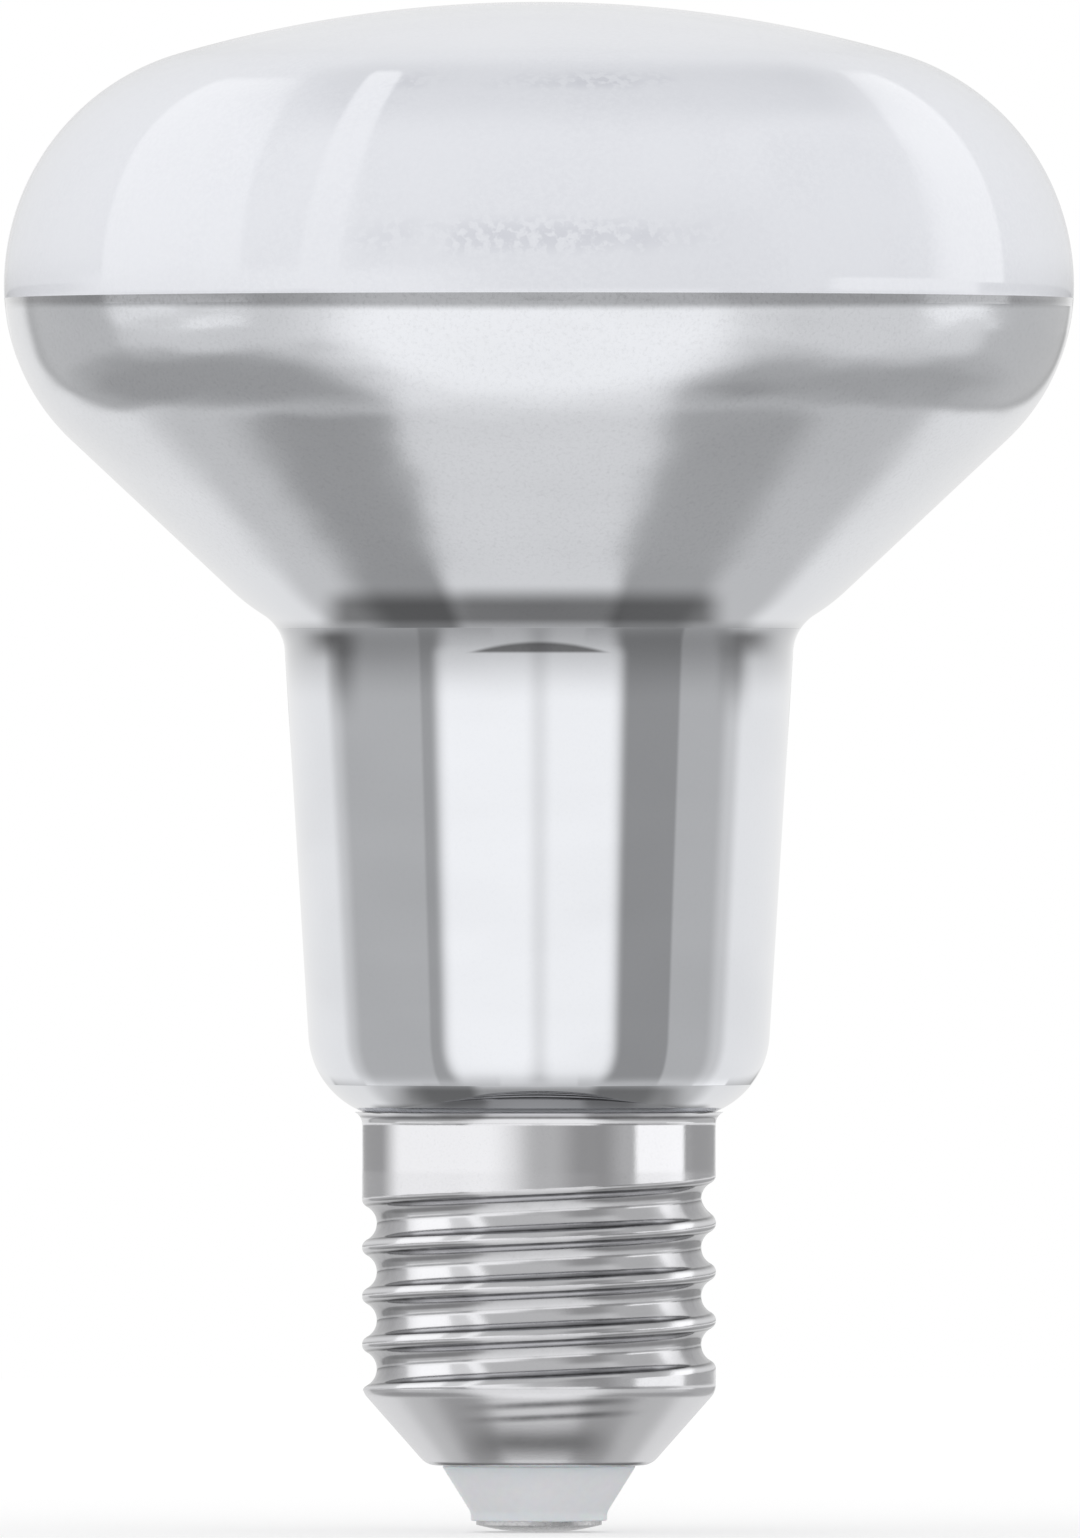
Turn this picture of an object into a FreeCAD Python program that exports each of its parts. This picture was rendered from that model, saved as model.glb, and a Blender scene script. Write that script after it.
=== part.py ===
import FreeCAD, Part

import math
import os

import Sketcher
from FreeCAD import Placement, Rotation, Vector

# A reflector lamp of 80 mm with a screw cap of 27 mm.
# Z runs along the lamp's axis, from the centre contact's face at zero up to the crown of the dome.

# Driving dimensions in millimetres, angles in degrees
SIZES = {
    # Glass envelope
    "bulb_diameter": 80.0,
    "equator_height": 93.2,
    "crown_radius": 96.1,
    "edge_radius": 18.05,
    "bowl_radius": 15.8,
    "cone_angle": 46.85,
    "throat_radius": 3.8,
    "neck_taper": 3.5,
    "neck_diameter": 34.5,
    "shoulder_radius": 6.5,
    "tuck_radius": 1.2,
    "tube_diameter": 22.4,
    "tube_length": 11.4,
    "tube_end_radius": 3.0,
    "glass_wall": 1.0,
    "mouth_clearance": 0.15,
    "tip_diameter": 3.4,
    "tip_length": 4.0,
    # Screw shell
    "shell_top": 31.4,
    "shell_foot": 5.0,
    "shell_wall": 0.3,
    "flare_height": 0.9,
    "flare_radius": 1.0,
    "thread_major": 26.45,
    "thread_minor": 24.26,
    "thread_pitch": 3.629,
    "thread_turns": 3.6,
    "thread_top": 24.9,
    "crest_radius": 0.85,
    "crest_flat": 0.01,
    "rim_rounding": 1.5,
    "foot_angle": 41.4,
    "foot_rounding": 1.5,
    "foot_seat_diameter": 15.4,
    "foot_hole_diameter": 13.2,
    # Bonding ring between glass tube and shell
    "cement_recess": 1.6,
    "cement_height": 2.8,
    # Insulator
    "insulator_top_diameter": 14.5,
    "insulator_base_diameter": 10.4,
    "insulator_bead_diameter": 10.2,
    "insulator_base": 0.85,
    "insulator_bead_height": 0.5,
    "insulator_bead_step": 0.3,
    "insulator_wall": 1.5,
    "insulator_floor": 1.6,
    "insulator_flange_height": 0.9,
    # Centre contact
    "contact_diameter": 9.4,
    "contact_flat_diameter": 2.8,
    "contact_rim": 0.3,
    "shank_diameter": 2.2,
    "rivet_head_diameter": 3.6,
    "rivet_head_height": 0.7,
    "solder_hole_depth": 0.5,
    # Lead wires
    "lead_diameter": 0.6,
    "lead_fit": 0.1,
    "lead_spacing": 8.0,
    "lead_bend_radius": 2.0,
    "centre_bend_height": 13.0,
    "centre_drop_height": 5.5,
    "weld_radius": 10.5,
    "side_lead_gap": 0.1,
}

START, END, CENTRE = 1, 2, 3
ORIGIN = (-1, 1)
UPRIGHT_AXIS = -2
SKETCH_NORMAL = Vector(0, 0, 1)
HALF_TURN = math.pi
QUARTER_TURN = math.pi / 2

doc = FreeCAD.newDocument("reflector_bulb")
sheet = doc.addObject("Spreadsheet::Sheet", "sizes")
for row, (alias, number) in enumerate(SIZES.items(), start=1):
    sheet.set(f"A{row}", alias.replace("_", " "))
    sheet.set(f"B{row}", str(number))
    sheet.setAlias(f"B{row}", alias)
doc.recompute()


def value(expression):
    """Number that an expression of the sheet's sizes gives."""
    return float(sheet.evalExpression(expression))


def origin_plane(body, role):
    """Plane of the body's own origin that has the given role."""
    return next(item for item in body.Origin.OriginFeatures if item.Role == role)


class Outline:
    """A sketch that is drawn edge by edge and bound to the sheet."""

    def __init__(self, body, name, role="XZ_Plane"):
        self.sketch = body.newObject("Sketcher::SketchObject", name)
        self.sketch.AttachmentSupport = [(origin_plane(body, role), "")]
        self.sketch.MapMode = "FlatFace"

    def line(self, start, end):
        """Straight edge between two (x, y) points."""
        return self.sketch.addGeometry(Part.LineSegment(Vector(*start, 0), Vector(*end, 0)), False)

    def arc(self, centre, radius, start_angle, end_angle):
        """Round edge that turns left from its start angle to its end angle, in radians."""
        circle = Part.Circle(Vector(*centre, 0), SKETCH_NORMAL, radius)
        return self.sketch.addGeometry(Part.ArcOfCircle(circle, start_angle, end_angle), False)

    def circle(self, centre, radius):
        """Full circle about an (x, y) point."""
        return self.sketch.addGeometry(Part.Circle(Vector(*centre, 0), SKETCH_NORMAL, radius), False)

    def bind(self, kind, place, expression, unit=""):
        """Dimension of the given kind, driven by an expression of the sheet."""
        number = value(expression)
        if unit:
            number = math.radians(number)
            expression = f"({expression}) * 1 {unit}"
        index = self.sketch.addConstraint(Sketcher.Constraint(kind, *place, number))
        self.sketch.setExpression(f"Constraints[{index}]", expression)

    def across(self, edge, point, expression):
        """Distance of a point from the axis."""
        self.bind("DistanceX", (*ORIGIN, edge, point), expression)

    def up(self, edge, point, expression):
        """Height of a point above the origin."""
        self.bind("DistanceY", (*ORIGIN, edge, point), expression)

    def radius(self, edge, expression):
        """Radius of an arc or a circle."""
        self.bind("Radius", (edge,), expression)

    def slope(self, edge, expression):
        """Angle of a line, in degrees from the sketch's first axis."""
        self.bind("Angle", (edge,), expression, "deg")

    def join(self, edge, point, other, other_point):
        """Two edges meet at a corner."""
        self.sketch.addConstraint(Sketcher.Constraint("Coincident", edge, point, other, other_point))

    def smooth(self, edge, point, other, other_point):
        """Two edges meet and run on without a corner."""
        self.sketch.addConstraint(Sketcher.Constraint("Tangent", edge, point, other, other_point))

    def on_axis(self, edge, point):
        """A point lies on the lamp's axis."""
        self.sketch.addConstraint(Sketcher.Constraint("PointOnObject", edge, point, UPRIGHT_AXIS))

    def level(self, edge):
        """A line is level."""
        self.sketch.addConstraint(Sketcher.Constraint("Horizontal", edge))

    def upright(self, edge):
        """A line is parallel to the axis."""
        self.sketch.addConstraint(Sketcher.Constraint("Vertical", edge))

    def dome(self, start, end):
        """Edge of a dome that is centred on the axis and rises from its start to its end."""
        height = (end[0] ** 2 - start[0] ** 2 + end[1] ** 2 - start[1] ** 2) / (2 * (end[1] - start[1]))
        radius = math.hypot(start[0], height - start[1])
        angles = [math.atan2(point[1] - height, point[0]) for point in (start, end)]
        edge = self.arc((0, height), radius, *angles)
        self.on_axis(edge, CENTRE)
        return edge

    def polygon(self, corners, domed=None):
        """Closed outline through corners given as (radius, height) expressions, one edge of it a dome."""
        points = [(value(across), value(height)) for across, height in corners]
        edges = []
        for i, point in enumerate(points):
            draw = self.dome if i == domed else self.line
            edges.append(draw(point, points[(i + 1) % len(points)]))
        for i, edge in enumerate(edges):
            self.join(edge, END, edges[(i + 1) % len(edges)], START)
            self.fix_point(edge, START, *corners[i])

    def fix_point(self, edge, point, across, height):
        """A point is held at a radius and a height."""
        if across == "0":
            self.on_axis(edge, point)
        else:
            self.across(edge, point, across)
        self.up(edge, point, height)


def add_body(label):
    """Empty body that carries one sub-part."""
    body = doc.addObject("PartDesign::Body", label)
    body.Label = label
    body.Placement = Placement()
    return body


def revolve(body, outline, kind="PartDesign::Revolution"):
    """Full turn of an outline about the lamp's axis, added to or cut from the body."""
    feature = body.newObject(kind, outline.sketch.Name + "_turned")
    feature.Profile = outline.sketch
    feature.ReferenceAxis = (outline.sketch, ["V_Axis"])
    feature.Angle = 360


# Glass envelope

NECK_CENTRE = "(sizes.neck_diameter / 2 - sizes.shoulder_radius)"
MOUTH_RADIUS = (
    "(sizes.thread_major / 2 + sizes.flare_radius"
    " - sqrt((sizes.flare_radius + sizes.shell_wall)^2 - sizes.flare_height^2))"
)
SHOULDER_HEIGHT = (
    "(sizes.shell_top + sqrt(sizes.shoulder_radius^2"
    f" - ({MOUTH_RADIUS} - sizes.mouth_clearance - {NECK_CENTRE})^2))"
)
TUBE_END = "(sizes.shell_top - sizes.tube_length)"


def envelope_outline(body, name, inset):
    """Half section of the glass, set in from its outer face by an expression."""
    depth = value(inset)
    half_bulb = value("sizes.bulb_diameter / 2")
    equator = value("sizes.equator_height")
    crown_radius = value("sizes.crown_radius")
    edge_radius = value("sizes.edge_radius")
    bowl_radius = value("sizes.bowl_radius")
    throat_radius = value("sizes.throat_radius")
    shoulder_radius = value("sizes.shoulder_radius")
    tuck_radius = value("sizes.tuck_radius")
    end_radius = value("sizes.tube_end_radius")
    cone = math.radians(value("sizes.cone_angle"))
    taper = math.radians(value("sizes.neck_taper"))
    tube = value("sizes.tube_diameter / 2")
    tube_end = value(TUBE_END)

    # Where the crown runs smoothly into the edge
    reach = half_bulb - edge_radius
    crown_angle = math.asin(reach / (crown_radius - edge_radius))
    crown_centre = equator - reach / math.tan(crown_angle)

    # Where the cone, the throat and the neck meet
    bowl_foot = Vector(half_bulb - bowl_radius, equator, 0)
    bowl_foot += bowl_radius * Vector(math.cos(cone), -math.sin(cone), 0)
    shoulder = Vector(value(NECK_CENTRE), value(SHOULDER_HEIGHT), 0)
    neck_foot = shoulder + shoulder_radius * Vector(math.cos(taper), -math.sin(taper), 0)
    down_cone = Vector(-math.sin(cone), -math.cos(cone), 0)
    up_neck = Vector(math.sin(taper), math.cos(taper), 0)
    across = neck_foot - bowl_foot
    run = (across.x * up_neck.y - across.y * up_neck.x) / (down_cone.x * up_neck.y - down_cone.y * up_neck.x)
    corner = bowl_foot + run * down_cone
    setback = throat_radius * math.tan((cone - taper) / 2)
    cone_foot = corner - setback * down_cone
    throat = cone_foot + throat_radius * Vector(math.cos(cone), -math.sin(cone), 0)

    # Where the shoulder turns into the tube
    tuck_x = tube + tuck_radius
    drop = math.sqrt((shoulder_radius + tuck_radius) ** 2 - (tuck_x - shoulder.x) ** 2)
    tuck = Vector(tuck_x, shoulder.y - drop, 0)
    turn = math.atan2(drop, tuck_x - shoulder.x)

    def on(centre, radius, angle):
        return (centre[0] + radius * math.cos(angle), centre[1] + radius * math.sin(angle))

    outline = Outline(body, name)
    crown = outline.arc((0, crown_centre), crown_radius - depth, QUARTER_TURN - crown_angle, QUARTER_TURN)
    rim = outline.arc((reach, equator), edge_radius - depth, 0, QUARTER_TURN - crown_angle)
    bowl = outline.arc((half_bulb - bowl_radius, equator), bowl_radius - depth, -cone, 0)
    bowl_end = on((half_bulb - bowl_radius, equator), bowl_radius - depth, -cone)
    cone_start = on(throat, throat_radius + depth, HALF_TURN - cone)
    flank = outline.line(cone_start, bowl_end)
    throat_arc = outline.arc(throat[:2], throat_radius + depth, HALF_TURN - cone, HALF_TURN - taper)
    neck_top = on(throat, throat_radius + depth, HALF_TURN - taper)
    neck = outline.line(on(shoulder, shoulder_radius - depth, -taper), neck_top)
    shoulder_arc = outline.arc(shoulder[:2], shoulder_radius - depth, -turn, -taper)
    tuck_arc = outline.arc(tuck[:2], tuck_radius + depth, HALF_TURN - turn, HALF_TURN)
    end_centre = (tube - end_radius, tube_end + end_radius)
    tube_wall = outline.line((tube - depth, end_centre[1]), (tube - depth, tuck.y))
    end_arc = outline.arc(end_centre, end_radius - depth, -QUARTER_TURN, 0)
    floor = outline.line((0, tube_end + depth), (end_centre[0], tube_end + depth))
    axis = outline.line((0, tube_end + depth), (0, crown_centre + crown_radius - depth))

    # Dome
    outline.on_axis(crown, CENTRE)
    outline.on_axis(crown, END)
    outline.radius(crown, f"sizes.crown_radius - {inset}")
    outline.smooth(crown, START, rim, END)
    outline.radius(rim, f"sizes.edge_radius - {inset}")
    outline.up(rim, CENTRE, "sizes.equator_height")
    outline.up(rim, START, "sizes.equator_height")
    outline.across(rim, START, f"sizes.bulb_diameter / 2 - {inset}")

    # Bowl, cone and throat
    outline.join(bowl, END, rim, START)
    outline.radius(bowl, f"sizes.bowl_radius - {inset}")
    outline.up(bowl, CENTRE, "sizes.equator_height")
    outline.smooth(bowl, START, flank, END)
    outline.slope(flank, "90 - sizes.cone_angle")
    outline.smooth(flank, START, throat_arc, START)
    outline.radius(throat_arc, f"sizes.throat_radius + {inset}")

    # Neck and shoulder
    outline.smooth(throat_arc, END, neck, END)
    outline.slope(neck, "90 - sizes.neck_taper")
    outline.smooth(neck, START, shoulder_arc, END)
    outline.radius(shoulder_arc, f"sizes.shoulder_radius - {inset}")
    outline.across(shoulder_arc, CENTRE, NECK_CENTRE)
    outline.up(shoulder_arc, CENTRE, SHOULDER_HEIGHT)

    # Tube inside the cap, closed at its end
    outline.smooth(shoulder_arc, START, tuck_arc, START)
    outline.radius(tuck_arc, f"sizes.tuck_radius + {inset}")
    outline.across(tuck_arc, CENTRE, "sizes.tube_diameter / 2 + sizes.tuck_radius")
    outline.smooth(tuck_arc, END, tube_wall, END)
    outline.upright(tube_wall)
    outline.smooth(tube_wall, START, end_arc, END)
    outline.radius(end_arc, f"sizes.tube_end_radius - {inset}")
    outline.smooth(end_arc, START, floor, END)
    outline.level(floor)
    outline.on_axis(floor, START)
    outline.up(floor, START, f"{TUBE_END} + {inset}")
    outline.join(axis, START, floor, START)
    outline.join(axis, END, crown, END)
    return outline


glass_bulb = add_body("glass_bulb")
revolve(glass_bulb, envelope_outline(glass_bulb, "glass_outside", "0"))
revolve(glass_bulb, envelope_outline(glass_bulb, "glass_inside", "sizes.glass_wall"), "PartDesign::Groove")

# Sealed stub of the exhaust tube under the tube's floor
stub = Outline(glass_bulb, "exhaust_tip")
tip_radius = value("sizes.tip_diameter / 2")
tip_top = value(f"{TUBE_END} + sizes.glass_wall / 2")
tip_centre = value(f"{TUBE_END} - sizes.tip_length + sizes.tip_diameter / 2")
stub_end = stub.arc((0, tip_centre), tip_radius, -QUARTER_TURN, 0)
stub_side = stub.line((tip_radius, tip_centre), (tip_radius, tip_top))
stub_top = stub.line((tip_radius, tip_top), (0, tip_top))
stub_axis = stub.line((0, tip_top), (0, tip_centre - tip_radius))
stub.on_axis(stub_end, CENTRE)
stub.on_axis(stub_end, START)
stub.radius(stub_end, "sizes.tip_diameter / 2")
stub.up(stub_end, CENTRE, f"{TUBE_END} - sizes.tip_length + sizes.tip_diameter / 2")
stub.smooth(stub_end, END, stub_side, START)
stub.upright(stub_side)
stub.join(stub_side, END, stub_top, START)
stub.level(stub_top)
stub.up(stub_top, END, f"{TUBE_END} + sizes.glass_wall / 2")
stub.on_axis(stub_top, END)
stub.join(stub_top, END, stub_axis, START)
stub.join(stub_axis, END, stub_end, START)
revolve(glass_bulb, stub)


# Screw shell: a thin rolled cup, its outside form less its inside form

THREAD_DEPTH = "((sizes.thread_major - sizes.thread_minor) / 2 + sizes.crest_flat)"
ARC_SUM = f"((sizes.thread_pitch^2 / 4 + {THREAD_DEPTH}^2) / (2 * {THREAD_DEPTH}))"
TURN_GAP = 0.1
TOOL_REACH = 0.8


def shell_outline(body, name, inset):
    """Half section of the shell's blank before its thread is rolled, set in by an expression."""
    depth = value(inset)
    top = value("sizes.shell_top")
    foot = value("sizes.shell_foot")
    side = value("sizes.thread_major / 2")
    flare = value("sizes.flare_radius")
    flare_start = value("sizes.shell_top - sizes.flare_height")
    rim = value("sizes.rim_rounding")
    toe = value("sizes.foot_rounding")
    seat = value("sizes.foot_seat_diameter / 2")
    slant = math.radians(value("sizes.foot_angle"))

    lip_angle = math.asin((top - flare_start) / (flare + depth))
    lip = side + flare - (flare + depth) * math.cos(lip_angle)
    toe_centre = Vector(seat, foot + toe, 0)
    outward = Vector(math.cos(slant), -math.sin(slant), 0)
    up_cone = Vector(math.sin(slant), math.cos(slant), 0)
    run = (side - rim - seat - (toe - rim) * outward.x) / up_cone.x
    rim_centre = toe_centre + (toe - rim) * outward + run * up_cone

    outline = Outline(body, name)
    lid = outline.line((0, top), (lip, top))
    flare_arc = outline.arc((side + flare, flare_start), flare + depth, HALF_TURN - lip_angle, HALF_TURN)
    skirt = outline.line((side - depth, rim_centre.y), (side - depth, flare_start))
    rim_arc = outline.arc(rim_centre[:2], rim - depth, -slant, 0)
    cone_top = rim_centre + (rim - depth) * outward
    cone_foot = toe_centre + (toe - depth) * outward
    cone = outline.line(cone_foot[:2], cone_top[:2])
    toe_arc = outline.arc(toe_centre[:2], toe - depth, -QUARTER_TURN, -slant)
    floor = outline.line((0, foot + depth), (seat, foot + depth))
    axis = outline.line((0, foot + depth), (0, top))

    outline.on_axis(lid, START)
    outline.level(lid)
    outline.up(lid, START, "sizes.shell_top")
    outline.join(lid, END, flare_arc, START)
    outline.across(flare_arc, CENTRE, "sizes.thread_major / 2 + sizes.flare_radius")
    outline.up(flare_arc, CENTRE, "sizes.shell_top - sizes.flare_height")
    outline.radius(flare_arc, f"sizes.flare_radius + {inset}")
    outline.up(flare_arc, END, "sizes.shell_top - sizes.flare_height")
    outline.join(flare_arc, END, skirt, END)
    outline.upright(skirt)
    outline.smooth(skirt, START, rim_arc, END)
    outline.radius(rim_arc, f"sizes.rim_rounding - {inset}")
    outline.smooth(rim_arc, START, cone, END)
    outline.slope(cone, "90 - sizes.foot_angle")
    outline.smooth(cone, START, toe_arc, END)
    outline.radius(toe_arc, f"sizes.foot_rounding - {inset}")
    outline.across(toe_arc, CENTRE, "sizes.foot_seat_diameter / 2")
    outline.up(toe_arc, CENTRE, "sizes.shell_foot + sizes.foot_rounding")
    outline.smooth(toe_arc, START, floor, END)
    outline.level(floor)
    outline.on_axis(floor, START)
    outline.join(axis, START, floor, START)
    outline.join(axis, END, lid, START)
    return outline


def groove_outline(body, name, inset, height):
    """Section of the thread's groove: a round root between two round crests."""
    depth = value(inset)
    pitch = value("sizes.thread_pitch")
    middle = value(height)
    crest = value("sizes.crest_radius")
    arc_sum = value(ARC_SUM)
    root = arc_sum - crest
    root_x = value("sizes.thread_minor / 2") + root
    flank = math.atan2(pitch / 2, arc_sum - value(THREAD_DEPTH))
    crest_x = root_x - arc_sum * math.cos(flank)
    crest_r = crest - depth
    spare = math.asin(TURN_GAP / 2 / crest_r)
    reach = value("sizes.thread_major / 2") + TOOL_REACH
    edge_x = crest_x + crest_r * math.cos(spare)
    high = middle + pitch / 2 - TURN_GAP / 2
    low = middle - pitch / 2 + TURN_GAP / 2

    outline = Outline(body, name)
    root_arc = outline.arc((root_x, middle), root + depth, HALF_TURN - flank, HALF_TURN + flank)
    upper = outline.arc((crest_x, middle + pitch / 2), crest_r, -flank, -spare)
    lower = outline.arc((crest_x, middle - pitch / 2), crest_r, spare, flank)
    upper_out = outline.line((edge_x, high), (reach, high))
    lower_out = outline.line((edge_x, low), (reach, low))
    back = outline.line((reach, high), (reach, low))

    outline.across(root_arc, CENTRE, f"sizes.thread_minor / 2 + {ARC_SUM} - sizes.crest_radius")
    outline.up(root_arc, CENTRE, height)
    outline.radius(root_arc, f"{ARC_SUM} - sizes.crest_radius + {inset}")
    for crest_arc, near, far, line, side in (
        (upper, START, END, upper_out, "+"),
        (lower, END, START, lower_out, "-"),
    ):
        outline.radius(crest_arc, f"sizes.crest_radius - {inset}")
        outline.up(crest_arc, CENTRE, f"{height} {side} sizes.thread_pitch / 2")
        outline.smooth(crest_arc, near, root_arc, START if side == "+" else END)
        inward = "-" if side == "+" else "+"
        outline.up(crest_arc, far, f"{height} {side} sizes.thread_pitch / 2 {inward} {TURN_GAP / 2}")
        outline.join(line, START, crest_arc, far)
        outline.level(line)
    outline.across(upper_out, END, f"sizes.thread_major / 2 + {TOOL_REACH}")
    outline.upright(back)
    outline.join(back, START, upper_out, END)
    outline.join(back, END, lower_out, END)
    return outline


def run_out(body, outline, direction):
    """Groove that leaves the thread's end straight ahead until it is clear of the metal."""
    cut = body.newObject("PartDesign::Pocket", outline.sketch.Name + "_run_out")
    cut.Profile = outline.sketch
    cut.UseCustomVector = True
    cut.Direction = direction
    cut.setExpression("Length", "sizes.thread_major / 3")


def thread_form(label, inset):
    """Threaded form of the shell, set in from its outer face by an expression."""
    body = add_body(label)
    revolve(body, shell_outline(body, label + "_blank", inset))
    groove = groove_outline(body, label + "_groove", inset, "sizes.thread_top")
    helix = body.newObject("PartDesign::SubtractiveHelix", label + "_thread")
    helix.Profile = groove.sketch
    helix.ReferenceAxis = (groove.sketch, ["V_Axis"])
    helix.Mode = "pitch-turns-angle"
    helix.Reversed = True
    helix.setExpression("Pitch", "sizes.thread_pitch")
    helix.setExpression("Turns", "sizes.thread_turns")
    doc.recompute()

    lead = value("sizes.thread_pitch / (pi * sizes.thread_major)")
    top_end = groove_outline(body, label + "_top_end", inset, "sizes.thread_top")
    run_out(body, top_end, Vector(0, 1, lead))

    angle = -360 * value("sizes.thread_turns")
    bottom = "(sizes.thread_top - sizes.thread_turns * sizes.thread_pitch)"
    low_end = groove_outline(body, label + "_low_end", inset, bottom)
    low_end.sketch.AttachmentOffset = Placement(Vector(), Rotation(Vector(0, 1, 0), angle))
    around = math.radians(angle)
    run_out(body, low_end, Vector(math.sin(around), -math.cos(around), -lead))
    return body


outside_form = thread_form("shell_outside", "0")
inside_form = thread_form("shell_inside", "sizes.shell_wall")

foot_hole = Outline(inside_form, "foot_hole")
foot_hole.polygon(
    [
        ("0", "sizes.shell_foot - sizes.shell_wall"),
        ("sizes.foot_hole_diameter / 2", "sizes.shell_foot - sizes.shell_wall"),
        ("sizes.foot_hole_diameter / 2", "sizes.shell_foot + 2 * sizes.shell_wall"),
        ("0", "sizes.shell_foot + 2 * sizes.shell_wall"),
    ]
)
revolve(inside_form, foot_hole)

screw_shell = doc.addObject("Part::Cut", "screw_shell")
screw_shell.Label = "screw_shell"
screw_shell.Base = outside_form
screw_shell.Tool = inside_form
screw_shell.Placement = Placement()


# Basing cement between the glass tube and the skirt

basing_cement = add_body("basing_cement")
CEMENT_TOP = "sizes.shell_top - sizes.cement_recess"
CEMENT_INSIDE = "sizes.tube_diameter / 2"
CEMENT_OUTSIDE = "sizes.thread_major / 2 - sizes.shell_wall"
cement = Outline(basing_cement, "cement_section")
cement.polygon(
    [
        (CEMENT_INSIDE, f"{CEMENT_TOP} - sizes.cement_height"),
        (CEMENT_OUTSIDE, f"{CEMENT_TOP} - sizes.cement_height"),
        (CEMENT_OUTSIDE, CEMENT_TOP),
        (CEMENT_INSIDE, CEMENT_TOP),
    ]
)
revolve(basing_cement, cement)


# Insulator: a moulded cup that holds the shell's foot between its shoulder and its flange

insulator = add_body("insulator")
SEAT_HEIGHT = "sizes.shell_foot"
FLANGE_FOOT = "sizes.shell_foot + sizes.shell_wall"
FLANGE_TOP = "sizes.shell_foot + sizes.shell_wall + sizes.insulator_flange_height"
FLOOR_TOP = "sizes.insulator_base + sizes.insulator_floor"
BEAD_TOP = "sizes.insulator_base + sizes.insulator_bead_height"
CONE_FOOT = "sizes.insulator_base + sizes.insulator_bead_height + sizes.insulator_bead_step"
HOLE_RADIUS = "sizes.foot_hole_diameter / 2"
insulator_section = Outline(insulator, "insulator_section")
insulator_section.polygon(
    [
        ("sizes.shank_diameter / 2", "sizes.insulator_base"),
        ("sizes.insulator_bead_diameter / 2", "sizes.insulator_base"),
        ("sizes.insulator_bead_diameter / 2", BEAD_TOP),
        ("sizes.insulator_base_diameter / 2", CONE_FOOT),
        ("sizes.insulator_top_diameter / 2", SEAT_HEIGHT),
        (HOLE_RADIUS, SEAT_HEIGHT),
        (HOLE_RADIUS, FLANGE_FOOT),
        ("sizes.foot_seat_diameter / 2", FLANGE_FOOT),
        ("sizes.foot_seat_diameter / 2", FLANGE_TOP),
        ("sizes.foot_hole_diameter / 2 - sizes.insulator_wall", FLANGE_TOP),
        ("sizes.insulator_base_diameter / 2 - sizes.insulator_wall", FLOOR_TOP),
        ("sizes.shank_diameter / 2", FLOOR_TOP),
    ]
)
revolve(insulator, insulator_section)


# Centre contact: a domed plate whose shank is riveted over inside the insulator

centre_contact = add_body("centre_contact")
CONTACT_TOP = "sizes.insulator_base"
DOME_TOP = "sizes.insulator_base - sizes.contact_rim"
HEAD_TOP = f"{FLOOR_TOP} + sizes.rivet_head_height"
SOLDER_HOLE = "sizes.lead_diameter / 2 + sizes.lead_fit"
contact_section = Outline(centre_contact, "contact_section")
contact_section.polygon(
    [
        ("0", "0"),
        ("sizes.contact_flat_diameter / 2", "0"),
        ("sizes.contact_diameter / 2", DOME_TOP),
        ("sizes.contact_diameter / 2", CONTACT_TOP),
        ("sizes.shank_diameter / 2", CONTACT_TOP),
        ("sizes.shank_diameter / 2", FLOOR_TOP),
        ("sizes.rivet_head_diameter / 2", FLOOR_TOP),
        ("sizes.rivet_head_diameter / 2", HEAD_TOP),
        (SOLDER_HOLE, HEAD_TOP),
        (SOLDER_HOLE, f"{HEAD_TOP} - sizes.solder_hole_depth"),
        ("0", f"{HEAD_TOP} - sizes.solder_hole_depth"),
    ],
    domed=1,
)
revolve(centre_contact, contact_section)


# Lead wires from the glass seal to the centre contact and to the shell

WELD_RISE = (
    "((sizes.weld_radius - sizes.foot_seat_diameter / 2) * cos(sizes.foot_angle)"
    " - sizes.foot_rounding + sizes.shell_wall)"
)
WELD_HEIGHT = f"(sizes.shell_foot + sizes.foot_rounding + {WELD_RISE} / sin(sizes.foot_angle))"


def lead_body(label, side):
    """Body of a lead with its round section under the tube's end, on one side of the axis."""
    body = add_body(label)
    section = Outline(body, label + "_section", "XY_Plane")
    section.sketch.setExpression("AttachmentOffset.Base.x", f"{side} * sizes.lead_spacing / 2")
    section.sketch.setExpression("AttachmentOffset.Base.z", TUBE_END)
    ring = section.circle((0, 0), value("sizes.lead_diameter / 2"))
    section.radius(ring, "sizes.lead_diameter / 2")
    section.join(ring, CENTRE, *ORIGIN)
    return body, section


def draw_lead(body, section, path):
    """Wire of the section drawn along the path."""
    pipe = body.newObject("PartDesign::AdditivePipe", body.Name + "_wire")
    pipe.Profile = section.sketch
    pipe.Spine = path.sketch


# Centre lead: down, across to the axis and into the rivet's hole
centre_lead, centre_section = lead_body("centre_lead", 1)
pin_x = value("sizes.lead_spacing / 2")
tube_end = value(TUBE_END)
bend = value("sizes.lead_bend_radius")
high = value("sizes.centre_bend_height")
low = value("sizes.centre_drop_height")
lean = math.atan2(pin_x, high - low)
setback = bend * math.tan(lean / 2)
slanted = Vector(math.sin(lean), math.cos(lean), 0)
upper_bend = (pin_x - bend, high + setback)
lower_bend = (bend, low - setback)
path = Outline(centre_lead, "centre_lead_path")
fall = path.line((pin_x, tube_end), (pin_x, high + setback))
first = path.arc(upper_bend, bend, -lean, 0)
across = path.line(
    (pin_x - setback * slanted.x, high - setback * slanted.y), (setback * slanted.x, low + setback * slanted.y)
)
second = path.arc(lower_bend, bend, HALF_TURN - lean, HALF_TURN)
drop = path.line((0, low - setback), (0, value(f"{HEAD_TOP} - sizes.solder_hole_depth")))
path.fix_point(fall, START, "sizes.lead_spacing / 2", TUBE_END)
path.upright(fall)
path.smooth(fall, END, first, END)
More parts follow.
